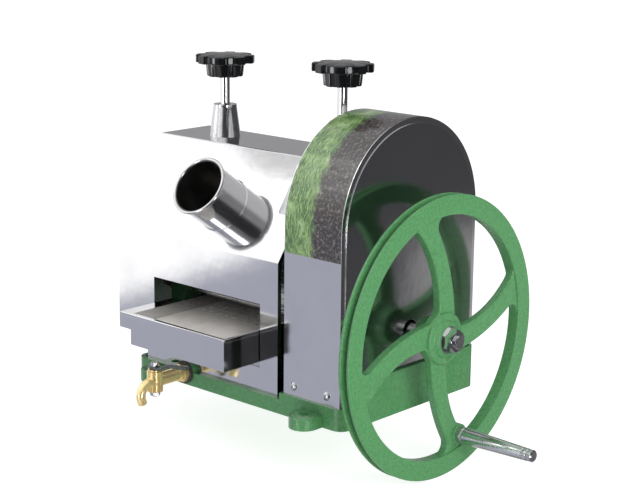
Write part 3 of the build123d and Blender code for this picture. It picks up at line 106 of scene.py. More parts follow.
class JuicerColours(PropertyGroup):
    """Colours of the finishes."""

    enamel: colour_setting("Enamel", "Paint of the castings", (0.078, 0.238, 0.092))
    enamel_dark: colour_setting("Enamel shade", "Paint where it lies thick", (0.062, 0.200, 0.075))
    steel: colour_setting("Polished steel", "Cover sheet", (0.72, 0.72, 0.73))
    strainer: colour_setting("Strainer sheet", "Dull strainer plate", (0.95, 0.92, 0.87))
    brass: colour_setting("Brass", "Tap body", (0.95, 0.76, 0.38))
    bronze: colour_setting("Bronze", "Bearing bushes", (0.50, 0.30, 0.13))
    knob: colour_setting("Knob", "Moulded knobs", (0.004, 0.0045, 0.005))
    grass_light: colour_setting("Grass light", "Lit blades on the film", (0.27, 0.42, 0.15))
    grass_dark: colour_setting("Grass dark", "Shaded blades on the film", (0.030, 0.095, 0.025))
    soil_light: colour_setting("Soil light", "Dry crumbs on the film", (0.17, 0.145, 0.13))
    soil_dark: colour_setting("Soil dark", "Damp soil on the film", (0.016, 0.013, 0.014))


class JuicerSizes(PropertyGroup):
    """Sizes of the pieces that are made here."""

    knob_radius: length_setting("Knob radius", "Outside of the knob's lobes", 0.044)
    knob_scallop: length_setting("Scallop depth", "How far the hollows cut in", 0.0070)
    knob_lobes: IntProperty(name="Knob lobes", description="Lobes round the knob", default=8)
    film_thickness: length_setting("Film thickness", "Film on the gear cover", 0.0003)
    film_start: length_setting("Film start", "Height of the film's front end", 0.232)
    film_end: FloatProperty(
        name="Film end",
        description="Angle past the crown where the film stops",
        subtype="ANGLE",
        default=0.62,
    )
    hem_height: length_setting("Tray hem", "Height of the folded rim", 0.0048)
    grip_groove: length_setting("Grip groove", "Depth of the turned grooves in the grip", 0.0009)


# ------------------------------------------------------------------ meshes from arrays
def new_object(name, points, faces, smooth=True):
    """A mesh object at the origin from an (n, 3) array in metres and an array or list of faces."""
    mesh = bpy.data.meshes.new(name)
    faces = faces.tolist() if isinstance(faces, np.ndarray) else faces
    mesh.from_pydata(np.asarray(points, float).tolist(), [], faces)
    mesh.validate()
    mesh.shade_smooth() if smooth else mesh.shade_flat()
    piece = bpy.data.objects.new(name, mesh)
    bpy.context.scene.collection.objects.link(piece)
    return piece


def grid_faces(rows, columns, closed=False):
    """Quads over a rows by columns grid of points, as one array; closed joins the last column."""
    r, c = np.meshgrid(
        np.arange(rows - 1), np.arange(columns if closed else columns - 1), indexing="ij"
    )
    here, c_next = r * columns, (c + 1) % columns
    quads = np.stack([here + c, here + c_next, here + columns + c_next, here + columns + c], -1)
    return quads.reshape(-1, 4)


def tidy_shell(piece, distance=1e-6):
    """Merges doubled points, as at poles and seams, and turns every face outwards."""
    work = bmesh.new()
    work.from_mesh(piece.data)
    bmesh.ops.remove_doubles(work, verts=work.verts, dist=distance)
    bmesh.ops.recalc_face_normals(work, faces=work.faces)
    work.to_mesh(piece.data)
    work.free()
    piece.data.update()
    return piece


def closed_shell(name, grid, distance=1e-6):
    """A (rows, columns, 3) grid closed across its columns; its end rows are poles or meet."""
    points = grid.reshape(-1, 3)
    return tidy_shell(new_object(name, points, grid_faces(*grid.shape[:2], closed=True)), distance)


def capped_tube(name, grid):
    """A (rows, columns, 3) grid closed across its columns, with a flat cap over each end row."""
    n, m = grid.shape[:2]
    faces = grid_faces(n, m, closed=True).tolist()
    faces += [[*range(m)][::-1], [*range((n - 1) * m, n * m)]]
    return tidy_shell(new_object(name, grid.reshape(-1, 3), faces))


def lathe(name, profile, centre, axis, steps=96, radius_scale=None):
    """A profile of (radius, height) turned about an axis.

    A point is centre + radius * scale(angle, row) * (cos, sin) + height along the axis. Rows of
    radius 0 are poles.
    """
    profile = np.asarray(profile, float)
    angle = np.linspace(0, 2 * math.pi, steps, endpoint=False)
    scale = np.ones((len(profile), steps)) if radius_scale is None else radius_scale(angle)
    radius = profile[:, :1] * scale
    height = np.repeat(profile[:, 1:], steps, 1)
    flat = np.stack([radius * np.cos(angle), radius * np.sin(angle), height], -1)
    turn = np.array(Vector(axis).normalized().to_track_quat("Z", "Y").to_matrix())
    return closed_shell(name, flat @ turn.T + np.asarray(centre, float))


def rounded(points, radius, steps=5):
    """A polyline whose inner corners are replaced by quadratic arcs of about that radius."""
    points = np.asarray(points, float)
    out = [points[0]]
    t = np.linspace(0, 1, steps)[:, None]
    for before, corner, after in zip(points[:-2], points[1:-1], points[2:]):
        back, ahead = np.linalg.norm(before - corner), np.linalg.norm(after - corner)
        reach = min(radius, 0.45 * back, 0.45 * ahead)
        start = corner + (before - corner) / back * reach
        end = corner + (after - corner) / ahead * reach
        out.extend((1 - t) ** 2 * start + 2 * t * (1 - t) * corner + t**2 * end)
    out.append(points[-1])
    return np.array(out)


def smoothstep(share):
    """A rise from 0 to 1 with level ends: 3 s^2 - 2 s^3, with s clipped to 0..1."""
    share = np.clip(share, 0, 1)
    return share * share * (3 - 2 * share)


def smooth_by_angle(piece, degrees):
    """Smooth shading with sharp edges kept where faces meet at more than the angle."""
    piece.data.shade_smooth()
    piece.data.set_sharp_from_angle(angle=math.radians(degrees))


def set_uv(piece, name, uv):
    """A UV layer from an (n, 2) array with one row for each vertex."""
    layer = piece.data.uv_layers.new(name=name)
    index = np.zeros(len(piece.data.loops), int)
    piece.data.loops.foreach_get("vertex_index", index)
    layer.data.foreach_set("uv", uv[index].ravel())


def cad_copy(node, name, bevel=0.0, segments=2, paint=None):
    """A merged copy of a CAD node, with softened edges where a bevel is given, stands for it."""
    piece = bpy.data.objects.new(name, frame["nodes"][node].data.copy())
    piece.data.materials.clear()
    bpy.context.scene.collection.objects.link(piece)
    work = bmesh.new()
    work.from_mesh(piece.data)
    bmesh.ops.remove_doubles(work, verts=work.verts, dist=2e-6)
    flat = math.radians(0.5)
    bmesh.ops.dissolve_limit(work, angle_limit=flat, verts=work.verts, edges=work.edges)
    work.to_mesh(piece.data)
    work.free()
    if bevel:
        edge = piece.modifiers.new("Soft edges", "BEVEL")
        edge.width = bevel
        edge.segments = segments
        edge.limit_method = "ANGLE"
        edge.angle_limit = math.radians(40)
    smooth_by_angle(piece, 40)
    stand_for(piece, node, paint=paint)


def stand_for(piece, *nodes, paint=None):
    """The piece replaces CAD nodes, rides their body and takes their slot's finish, or the paint
    that is named.
    """
    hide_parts(*nodes)
    attach(piece, BODY_OF[nodes[0]], SLOT_OF[nodes[0]], paint)


def attach(piece, body, slot, paint=None):
    """The piece rides a body and takes a slot's finish, or the paint that is named."""
    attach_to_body(piece, body)
    piece.data.materials.clear()
    piece.data.materials.append(bpy.data.materials[paint or FINISH_OF[slot]])


# ------------------------------------------------------------------ shader groups
def add_node(tree, kind, **settings):
    """A node of a kind, with attributes by name and its inputs by index or name under 'inputs'."""
    node = tree.nodes.new(kind)
    inputs = settings.pop("inputs", {})
    for key, value in settings.items():
        setattr(node, key, value)
    for key, value in inputs.items():
        node.inputs[key].default_value = value
    return node


def feed(tree, entry, value):
    """Links a socket into an input, or sets the input to a number or a colour."""
    if hasattr(value, "links"):
        tree.links.new(value, entry)
    elif entry.type == "RGBA":
        entry.default_value = (*value[:3], 1.0)
    else:
        entry.default_value = value


def start_group(name, inputs, outputs):
    """An empty shader node group, the sockets that enter it and the sockets that leave it."""
    group = bpy.data.node_groups.new(name, "ShaderNodeTree")
    for label, value in (("Vector", (0.0, 0.0, 0.0)), *inputs):
        kind = "NodeSocketVector" if isinstance(value, tuple) else "NodeSocketFloat"
        socket = group.interface.new_socket(name=label, in_out="INPUT", socket_type=kind)
        socket.default_value = value
    for label in outputs:
        group.interface.new_socket(name=label, in_out="OUTPUT", socket_type="NodeSocketFloat")
    entry = group.nodes.new("NodeGroupInput").outputs
    return group, entry, group.nodes.new("NodeGroupOutput").inputs


def noise(tree, vector, scale, detail=3.0, roughness=0.55):
    """A noise texture on a vector, its scale a number or a socket."""
    node = add_node(tree, "ShaderNodeTexNoise", inputs={"Detail": detail, "Roughness": roughness})
    tree.links.new(vector, node.inputs["Vector"])
    feed(tree, node.inputs["Scale"], scale)
    return node.outputs["Fac"]


def math_node(tree, operation, a, b):
    """One arithmetic step between sockets or numbers."""
    node = add_node(tree, "ShaderNodeMath", operation=operation)
    feed(tree, node.inputs[0], a)
    feed(tree, node.inputs[1], b)
    return node.outputs[0]


def vector_node(tree, operation, vector, other):
    """One step between a vector socket and a constant vector or another socket."""
    node = add_node(tree, "ShaderNodeVectorMath", operation=operation)
    tree.links.new(vector, node.inputs[0])
    feed(tree, node.inputs[1], other)
    return node.outputs["Value" if operation == "DOT_PRODUCT" else "Vector"]


def spread(tree, value, low, high, to_low=0.0, to_high=1.0):
    """A value from one range mapped into another, clamped and smooth."""
    limits = {"From Min": low, "From Max": high, "To Min": to_low, "To Max": to_high}
    node = add_node(tree, "ShaderNodeMapRange", interpolation_type="SMOOTHSTEP", inputs=limits)
    tree.links.new(value, node.inputs["Value"])
    return node.outputs["Result"]


def blend_colours(tree, factor, first, second):
    """A mix of two colours, each a socket or a colour."""
    node = add_node(tree, "ShaderNodeMix", data_type="RGBA")
    tree.links.new(factor, node.inputs["Factor"])
    feed(tree, node.inputs[6], first)
    feed(tree, node.inputs[7], second)
    return node.outputs[2]


def make_cast_skin():
    """Paint over rough casting: lumps and orange peel as a height, and a mask of thick paint."""
    group, entry, leave = start_group(
        "Cast skin",
        [("Lump scale", 60.0), ("Peel scale", 420.0), ("Peel amount", 0.35)],
        ["Height", "Thick"],
    )
    lumps = noise(group, entry["Vector"], entry["Lump scale"], 2.0, 0.5)
    peel = noise(group, entry["Vector"], entry["Peel scale"], 2.0, 0.5)
    weighted = math_node(group, "MULTIPLY", peel, entry["Peel amount"])
    group.links.new(math_node(group, "ADD", lumps, weighted), leave["Height"])
    group.links.new(spread(group, lumps, 0.38, 0.66), leave["Thick"])


def make_drawn_grain():
    """Fine lines along one direction, and broad patches, each as a value from 0 to 1."""
    group, entry, leave = start_group(
        "Drawn grain", [("Stretch", (1.0, 60.0, 60.0)), ("Scale", 40.0)], ["Lines", "Patches"]
    )
    stretched = vector_node(group, "MULTIPLY", entry["Vector"], entry["Stretch"])
    group.links.new(noise(group, stretched, entry["Scale"], 3.0, 0.6), leave["Lines"])
    group.links.new(noise(group, entry["Vector"], 14.0, 3.0, 0.6), leave["Patches"])


def make_handling_marks():
    """Faint smears and dust specks of a handled surface, as masks."""
    group, entry, leave = start_group(
        "Handling marks", [("Smear scale", 9.0), ("Speck scale", 700.0)], ["Smears", "Specks"]
    )
    smears = noise(group, entry["Vector"], entry["Smear scale"], 6.0, 0.68)
    specks = noise(group, entry["Vector"], entry["Speck scale"], 1.0, 0.4)
    group.links.new(spread(group, smears, 0.45, 0.75), leave["Smears"])
    group.links.new(spread(group, specks, 0.70, 0.76), leave["Specks"])


def make_turned_rings():
    """Lathe rings: noise squeezed along X into bands, as a height and as a tone."""
    group, entry, leave = start_group("Turned rings", [("Ring scale", 700.0)], ["Height", "Tone"])
    squeezed = vector_node(group, "MULTIPLY", entry["Vector"], (1.0, 0.02, 0.02))
    rings = noise(group, squeezed, entry["Ring scale"], 2.0, 0.6)
    group.links.new(rings, leave["Height"])
    group.links.new(spread(group, rings, 0.35, 0.65), leave["Tone"])


# ------------------------------------------------------------------ materials
class Finish:
    """A material under way: its tree, its shader and object coordinates."""

    def __init__(self, name, **sockets):
        self.material = bpy.data.materials.new(name)
        self.material.use_nodes = True
        self.tree = self.material.node_tree
        self.shader = self.tree.nodes["Principled BSDF"]
        self.place = self.tree.nodes.new("ShaderNodeTexCoord").outputs["Object"]
        for label, value in sockets.items():
            self.shader.inputs[label.replace("_", " ")].default_value = value

    def group(self, name, **values):
        """The outputs of a node group on object coordinates."""
        node = add_node(self.tree, "ShaderNodeGroup", node_tree=bpy.data.node_groups[name])
        self.tree.links.new(self.place, node.inputs["Vector"])
        for label, value in values.items():
            node.inputs[label.replace("_", " ")].default_value = value
        return node.outputs

    def skin(self, lumps, peel, amount):
        """The outputs of the cast skin."""
        return self.group("Cast skin", Lump_scale=lumps, Peel_scale=peel, Peel_amount=amount)

    def marks(self, smears, specks=900.0):
        """The outputs of the handling marks."""
        return self.group("Handling marks", Smear_scale=smears, Speck_scale=specks)

    def link(self, socket, label):
        """Links a socket into an input of the shader."""
        self.tree.links.new(socket, self.shader.inputs[label])

    def colour(self, factor, first, second):
        """The base colour runs from the first colour to the second over the factor."""
        self.link(blend_colours(self.tree, factor, first, second), "Base Color")

    def vary(self, label, mask, low, high):
        """The shader's value runs from low to high over the mask."""
        self.link(spread(self.tree, mask, 0.0, 1.0, low, high), label)

    def bump(self, height, depth, strength=1.0, under=None):
        """A relief of a depth in metres, on top of another one where it is given."""
        settings = {"Strength": strength, "Distance": depth}
        node = add_node(self.tree, "ShaderNodeBump", inputs=settings)
        self.tree.links.new(height, node.inputs["Height"])
        if under is not None:
            self.tree.links.new(under, node.inputs["Normal"])
        self.link(node.outputs["Normal"], "Normal")
        return node.outputs["Normal"]


def make_enamel(name, light, dark):
    """Glossy green enamel brushed over sand-cast iron, with specks of dust."""
    finish = Finish(name, Metallic=0.0, IOR=1.5)
    skin = finish.skin(260.0, 800.0, 0.45)
    marks = finish.marks(14.0)
    body = blend_colours(finish.tree, skin["Thick"], light, dark)
    dust = math_node(finish.tree, "MULTIPLY", marks["Specks"], 0.25)
    finish.colour(dust, body, (0.30, 0.42, 0.32))
    finish.vary("Roughness", marks["Smears"], 0.20, 0.34)
    finish.bump(skin["Height"], 0.0007, 0.5)


def make_sheet(name, colour, rough, stretch, wave=0.0009):
    """Bright stainless sheet: gentle waves of bent sheet, drawn lines and faint smears."""
    finish = Finish(name, Metallic=1.0)
    tree = finish.tree
    grain = finish.group("Drawn grain", Stretch=stretch, Scale=30.0)
    marks = finish.marks(7.0, 800.0)
    finish.colour(grain["Patches"], colour, tuple(value * 0.86 for value in colour))
    smeared = math_node(tree, "MULTIPLY", marks["Smears"], 0.6)
    lined = math_node(tree, "MULTIPLY", grain["Lines"], 0.4)
    finish.vary("Roughness", math_node(tree, "ADD", smeared, lined), rough, rough + 0.10)
    waves = finish.bump(grain["Patches"], wave, 0.25)
    finish.bump(grain["Lines"], FINE_LINES, 0.3, waves)


def make_tube_steel():
    """Polished tube, dull inside with painted shade darkening the bore, by the distance from the
    tube's axis.
    """
    finish = Finish("Tube steel", Metallic=1.0)
    tree = finish.tree
    marks = finish.marks(9.0, 800.0)
    grain = finish.group("Drawn grain", Stretch=(50.0, 1.0, 1.5), Scale=30.0)
    axis = (0.0, math.cos(FEED_SLOPE), -math.sin(FEED_SLOPE))
    from_place = vector_node(tree, "SUBTRACT", finish.place, FEED_TUBE_PLACE)
    across = vector_node(tree, "CROSS_PRODUCT", from_place, axis)
    length = add_node(tree, "ShaderNodeVectorMath", operation="LENGTH")
    tree.links.new(across, length.inputs[0])
    outside = spread(tree, length.outputs["Value"], *FEED_TUBE_WALL)
    bright = blend_colours(tree, grain["Patches"], (0.62, 0.62, 0.63), (0.52, 0.52, 0.53))
    # painted shade: the bore is near black, as shade falls inside the tube, with smears across it
    bore_in_painted_shade = blend_colours(tree, marks["Smears"], (0.10, 0.095, 0.09), (0.16, 0.15, 0.145))
    finish.colour(outside, bore_in_painted_shade, bright)
    polish = spread(tree, outside, 0.0, 1.0, 0.42, 0.08)
    lines = spread(tree, grain["Lines"], 0.3, 0.7, 0.0, 0.05)
    finish.link(math_node(tree, "ADD", polish, lines), "Roughness")
    finish.bump(grain["Lines"], FINE_LINES, 0.3)


def make_strainer(light):
    """Dull warm strainer sheet with stains of dried juice."""
    finish = Finish("Strainer sheet", Metallic=0.2)
    grain = finish.group("Drawn grain", Stretch=(40.0, 1.0, 40.0), Scale=25.0)
    finish.colour(finish.marks(16.0, 500.0)["Smears"], light, (0.80, 0.75, 0.69))
    finish.vary("Roughness", grain["Lines"], 0.38, 0.55)
    finish.bump(grain["Lines"], 0.00004, 0.4)


def make_machined(name, colour, rough, rings=700.0, depth=0.00003):
    """Turned or ground metal with fine rings and patches of oil."""
    finish = Finish(name, Metallic=1.0)
    turned = finish.group("Turned rings", Ring_scale=rings)
    finish.colour(finish.marks(20.0)["Smears"], colour, tuple(value * 0.72 for value in colour))
    finish.vary("Roughness", turned["Tone"], rough, rough + 0.12)
    finish.bump(turned["Height"], depth, 0.4)


def make_moulded(name, light, dark, rough, skin, depth, strength, smears=None, **sockets):
    """A cast or moulded surface that darkens where its skin is thick, or where it is smeared."""
    finish = Finish(name, **sockets)
    cast = finish.skin(*skin)
    tone = cast["Thick"] if smears is None else finish.marks(smears)["Smears"]
    finish.colour(tone, light, dark)
    finish.vary("Roughness", cast["Thick"], *rough)
    finish.bump(cast["Height"], depth, strength)


def make_phenolic(colour):
    """Black moulded phenolic with a deep gloss, faint wipe marks and dust."""
    finish = Finish("Black phenolic", Metallic=0.0, IOR=1.5)
    marks = finish.marks(30.0, 1100.0)
    dust = math_node(finish.tree, "MULTIPLY", marks["Specks"], 0.12)
    finish.colour(dust, colour, (0.10, 0.10, 0.10))
    finish.vary("Roughness", marks["Smears"], 0.06, 0.14)
    finish.bump(finish.skin(120.0, 600.0, 0.2)["Height"], 0.00025, 0.35)


def make_grass_print(colours):
    """Printed film: blades of grass on one half, crumbly soil on the other, under a clear gloss.

    The film's UV runs in metres, along the band first and across it second.
    """
    gloss = {"Coat_Weight": 0.7, "Coat_Roughness": 0.08, "Roughness": 0.35}
    finish = Finish("Printed film", Metallic=0.0, **gloss)
    tree = finish.tree
    uv = add_node(tree, "ShaderNodeUVMap", uv_map="Film").outputs["UV"]
    parts = add_node(tree, "ShaderNodeSeparateXYZ")
    tree.links.new(uv, parts.inputs[0])
    along, across = parts.outputs[0], parts.outputs[1]

    def plus(first, second, weight):
        """The first value plus the second one times a weight."""
        return math_node(tree, "ADD", first, math_node(tree, "MULTIPLY", second, weight))

    lean = add_node(tree, "ShaderNodeCombineXYZ")
    tree.links.new(math_node(tree, "MULTIPLY", along, 0.20), lean.inputs[0])
    tree.links.new(plus(across, noise(tree, uv, 22.0, 2.0), 0.014), lean.inputs[1])
    blades = noise(tree, lean.outputs[0], 430.0, 6.0, 0.78)
    clumps = noise(tree, uv, 26.0, 3.0, 0.6)
    lit = spread(tree, plus(math_node(tree, "MULTIPLY", blades, 0.7), clumps, 0.3), 0.43, 0.58)
    grass = blend_colours(tree, lit, colours.grass_dark, colours.grass_light)
    haze = spread(tree, clumps, 0.52, 0.74, 0.0, 0.65)
    hazy = blend_colours(tree, haze, grass, (0.48, 0.58, 0.42))
    crumbs = spread(tree, noise(tree, uv, 210.0, 5.0, 0.7), 0.48, 0.66)
    soil = blend_colours(tree, crumbs, colours.soil_dark, colours.soil_light)
    edge = plus(across, noise(tree, uv, 60.0, 4.0, 0.7), 0.030)
    finish.colour(spread(tree, edge, 0.058, 0.070), hazy, soil)
    finish.bump(blades, FINE_LINES, 0.2)


def make_silver_film():
    """Blank silvered film with a faint satin grain."""
    finish = Finish("Silver film", Metallic=0.8, Coat_Weight=0.4)
    grain = finish.group("Drawn grain", Stretch=(60.0, 1.0, 60.0), Scale=60.0)
    finish.colour(grain["Patches"], (0.62, 0.62, 0.64), (0.50, 0.50, 0.52))
    finish.vary("Roughness", grain["Lines"], 0.30, 0.42)
    finish.bump(grain["Lines"], FINE_LINES, 0.4)


FINISH_OF = {
    "green_paint": "Green enamel",
    "cover_steel": "Polished sheet",
    "pan_steel": "Pan sheet",
    "strainer_steel": "Strainer sheet",
    "roller_steel": "Roller steel",
    "shaft_steel": "Ground steel",
    "gear_iron": "Oiled iron",
    "bronze": "Bearing bronze",
    "fixing_steel": "Zinc plate",
    "screw_chrome": "Bright bar",
    "knob_black": "Black phenolic",
    "handle_chrome": "Handle chrome",
    "tap_brass": "Tap brass",
    "lever_grey": "Lever enamel",
    "seal_rubber": "Seal rubber",
}
OWN_FINISH_OF = {"feed_tube": "Tube steel"}
INNER_PAINTED_SHADE = 0.16  # of the enamel's brightness, inside the machine: painted shade for the castings there


class JUICER_OT_finishes(Operator):
    """Makes every material and gives each CAD node the finish of its slot, or its own"""

    bl_idname = "juicer.finishes"
    bl_label = "Finishes"

    def execute(self, context):
        colours = context.scene.juicer_colours
        for make in (make_cast_skin, make_drawn_grain, make_handling_marks, make_turned_rings):
            make()
        paint = (colours.enamel, colours.enamel_dark)
        make_enamel("Green enamel", *paint)
        # The enamel inside the machine is darkened as painted shade
        inner = (tuple(INNER_PAINTED_SHADE * value for value in shade) for shade in paint)
        make_enamel("Shade-painted inner enamel", *inner)
        make_sheet("Polished sheet", tuple(colours.steel), 0.07, (1.0, 50.0, 50.0))
        make_sheet("Face plate", (0.60, 0.60, 0.61), 0.13, (1.0, 50.0, 4.0), 0.0014)
        make_sheet("Pan sheet", (0.60, 0.60, 0.59), 0.22, (50.0, 1.0, 50.0), 0.0005)
        make_strainer(colours.strainer)
        make_tube_steel()
        make_machined("Roller steel", (0.55, 0.55, 0.56), 0.26)
        make_machined("Ground steel", (0.56, 0.56, 0.57), 0.18, 1200.0)
        make_machined("Bearing bronze", tuple(colours.bronze), 0.24)
        make_machined("Zinc plate", (0.58, 0.59, 0.62), 0.22, 900.0)
        make_machined("Bright bar", (0.74, 0.74, 0.75), 0.07, 1500.0, 0.00001)
        make_machined("Handle chrome", (0.70, 0.71, 0.72), 0.12, 1300.0, 0.00001)
        make_moulded(
            "Oiled iron", (0.16, 0.155, 0.15), (0.07, 0.068, 0.065),
            (0.30, 0.48), (160.0, 900.0, 0.6), 0.0003, 0.4, Metallic=0.9,
        )
        make_moulded(
            "Tap brass", colours.brass, (0.72, 0.50, 0.20),
            (0.12, 0.24), (140.0, 700.0, 0.25), 0.0004, 0.4, smears=40.0, Metallic=0.7,
        )
        make_moulded(
            "Lever enamel", (0.045, 0.060, 0.055), (0.085, 0.105, 0.095),
            (0.26, 0.40), (200.0, 900.0, 0.4), 0.0003, 0.4, smears=45.0, Metallic=0.2, IOR=1.5,
        )
        make_moulded(
            "Seal rubber", (0.030, 0.030, 0.031), (0.055, 0.054, 0.052),
            (0.60, 0.78), (260.0, 1400.0, 0.8), 0.0003, 0.5, Metallic=0.0,
        )
        make_phenolic(colours.knob)
        make_grass_print(colours)
        make_silver_film()
        for node, piece in frame["nodes"].items():
            finish = OWN_FINISH_OF.get(node, FINISH_OF[SLOT_OF[node]])
            piece.data.materials.clear()
            piece.data.materials.append(bpy.data.materials[finish])
        return {"FINISHED"}


# ------------------------------------------------------------------ pieces
class JUICER_OT_castings(Operator):
    """Softens the edges of the enamelled castings, darkens the enamel inside the machine as
    painted shade, and smooths the wheel
    """

    bl_idname = "juicer.castings"
    bl_label = "Enamelled castings"

    def execute(self, context):
        cad_copy("base_casting", "enamelled_base_casting", CAST_EDGE)
        for node in ("left_cheek", "right_cheek", "left_cap", "right_cap", "outer_pedestal"):
            # castings inside the machine take the enamel darkened as painted shade
            cad_copy(node, f"enamelled_{node}", CAST_EDGE, paint="Shade-painted inner enamel")
        cad_copy("handwheel", "enamelled_handwheel")
        return {"FINISHED"}


class JUICER_OT_gear_cover(Operator):
    """Rolls the cut edges of the gear cover's band and face plate, which catch the light"""

    bl_idname = "juicer.gear_cover"
    bl_label = "Gear cover"

    def execute(self, context):
        cad_copy("gear_cover_band", "folded_cover_band", 0.0007)
        cad_copy("gear_cover_face", "folded_face_plate", 0.0012, 3, "Face plate")
        return {"FINISHED"}


class JUICER_OT_knobs(Operator):
    """Makes the two star knobs"""

    bl_idname = "juicer.knobs"
    bl_label = "Star knobs"

    def execute(self, context):
        for side in ("left", "right"):
            star_knob(side, context.scene.juicer_sizes)
        return {"FINISHED"}


def star_knob(side, sizes):
    """A turned profile of a thick rim on a tapered hub, with lobes round both.

    The radius is less by depth(row) * hollow(angle), where hollow is a cosine round the knob,
    clipped so that its tops and bottoms are flat. The depth is the scallop's on the rim and less
    on the hub.
    """
    node = f"{side}_star_knob"
    low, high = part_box(node)
    centre = ((low + high) / 2).to_tuple()[:2]
    height = high.z - low.z
    rim, hub, hub_flute = sizes.knob_radius, 0.0288, 0.0030
    upper = height - 0.014
    screw, socket_depth = 0.0074, 0.010
    outline = [
        (0.0, height), (0.012, height), (rim - 0.010, height - 0.0012),
        (rim - 0.0010, height - 0.0020), (rim, height - 0.0032), (rim, upper + 0.0010),
        (rim - 0.0010, upper), (hub, upper), (hub, upper - 0.0012), (hub - 0.0018, 0.0012),
        (hub - 0.0030, 0.0), (screw, 0.0), (screw, socket_depth), (0.0, socket_depth),
    ]
    profile = rounded(outline, 0.0009, 5)
    radius, level = profile[:, 0], profile[:, 1]
    on_rim = np.clip((radius - hub - 0.001) / 0.004, 0, 1) * sizes.knob_scallop
    on_hub = np.clip((radius - 0.020) / 0.004, 0, 1) * (level <= upper) * hub_flute
    depth = np.maximum(on_rim, on_hub)[:, None]

    def lobes(angle):
        """The scale of each row's radius round the knob."""
        wave = np.cos(sizes.knob_lobes * (angle - math.radians(12)))
        hollow = smoothstep((wave + 0.30) / 0.55)
        return 1 - depth * hollow / np.maximum(radius[:, None], 0.004)

    knob = lathe(f"{side}_knob_moulding", profile, (*centre, low.z), (0, 0, 1), 320, lobes)
    smooth_by_angle(knob, 32)
    stand_for(knob, node)


class JUICER_OT_grip(Operator):
    """Makes the turned handle grip"""

    bl_idname = "juicer.grip"
    bl_label = "Handle grip"

    def execute(self, context):
        groove = context.scene.juicer_sizes.grip_groove
        low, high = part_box("handle_grip")
        centre = (low + high) / 2
        length = high.x - low.x
        root, tip, bore = 0.012, 0.0088, 0.00556
        outline = [(bore, 0.0), (root - 0.0008, 0.0), (root, 0.0010)]
        for share in (0.05, 0.93):
            at = share * length
            surface = root + (tip - root) * share
            outline += [(surface, at - 0.0012), (surface - groove, at - 0.0004)]
            outline += [(surface - groove, at + 0.0004), (surface, at + 0.0012)]
        outline += [(tip, length - 0.0010), (tip - 0.0008, length), (bore, length), (bore, 0.0)]
        start = (low.x, centre.y, centre.z)
        grip = lathe("turned_grip", rounded(outline, 0.0005, 4), start, (1, 0, 0))
        smooth_by_angle(grip, 50)
        stand_for(grip, "handle_grip")
        return {"FINISHED"}


class JUICER_OT_screws(Operator):
    """Makes the round-headed cover screws with their cross recesses"""

    bl_idname = "juicer.screws"
    bl_label = "Cover screws"

    def execute(self, context):
        mesh = frame["nodes"]["cover_screws"].data
        points = np.zeros(len(mesh.vertices) * 3)
        mesh.vertices.foreach_get("co", points)
        points = points.reshape(-1, 3)
        heads = []
        for side, places, radius, height in (
            (-1, GEAR_SCREWS_X, 0.0060, 0.0034),
            (1, GEAR_SCREWS_X, 0.0060, 0.0034),
            (1, BACK_SCREWS_X, 0.0055, 0.0030),
        ):
            for x in places:
                near = points[(np.abs(points[:, 0] - x) < 0.01) & (points[:, 1] * side > 0)]
                top = side * (near[:, 1] * side).max()
                heads.append(screw_head(x, top, near[:, 2].mean(), side, radius, height))
        bpy.ops.object.select_all(action="DESELECT")
        for head in heads:
            head.select_set(True)
        context.view_layer.objects.active = heads[0]
        if bpy.ops.object.join() != {"FINISHED"}:
            raise RuntimeError("the screw heads were not joined")
        screws = heads[0]
        screws.name = "round_head_screws"
        smooth_by_angle(screws, 45)
        stand_for(screws, "cover_screws")
        return {"FINISHED"}


def screw_head(x, top, z, side, radius, height):
    """A domed head on a short shank, cut by a cross-shaped recess.

    The dome stands height * sqrt(1 - (0.98 s) ** 2.6) at the share s of its radius, and the recess
    goes down with a short slope at its edges.
    """
    steps, shank, shank_end, slot, recess = 96, 0.0024, -0.007, 0.00075, 0.0012
    share = np.concatenate([np.linspace(0, 0.86, 30), np.linspace(0.88, 1.0, 8)])[:, None]
    angle = np.linspace(0, 2 * math.pi, steps, endpoint=False)
    r = radius * share * np.ones(steps)
    dome = height * np.sqrt(np.clip(1 - (share * 0.98) ** 2.6, 0, 1)) * np.ones(steps)
    across, along = np.abs(r * np.cos(angle + 0.5)), np.abs(r * np.sin(angle + 0.5))
    bars = [
        np.clip((slot - a) / 0.0003, 0, 1) * np.clip((radius * 0.55 - b) / 0.0005, 0, 1)
        for a, b in ((across, along), (along, across))
    ]
    dome = dome - np.maximum(*bars) * recess
    rows = [np.stack([r * np.cos(angle), r * np.sin(angle), dome], -1)]
    for ring, level in ((radius, 0.0), (shank, 0.0), (shank, shank_end), (0.0, shank_end)):
        flat = np.stack([ring * np.cos(angle), ring * np.sin(angle), np.full(steps, level)], -1)
        rows.append(flat[None])
    turn = np.array(Vector((0, side, 0)).to_track_quat("Z", "Y").to_matrix())
    place = np.array([x, top - side * height, z])
    return closed_shell("screw_head", np.concatenate(rows) @ turn.T + place, 2e-6)


class JUICER_OT_film(Operator):
    """Lays the printed film on the gear cover's band, and the blank film on the front slope"""

    bl_idname = "juicer.film"
    bl_label = "Films"

    def execute(self, context):
        band_film(context.scene.juicer_sizes)
        slope_film()
        return {"FINISHED"}


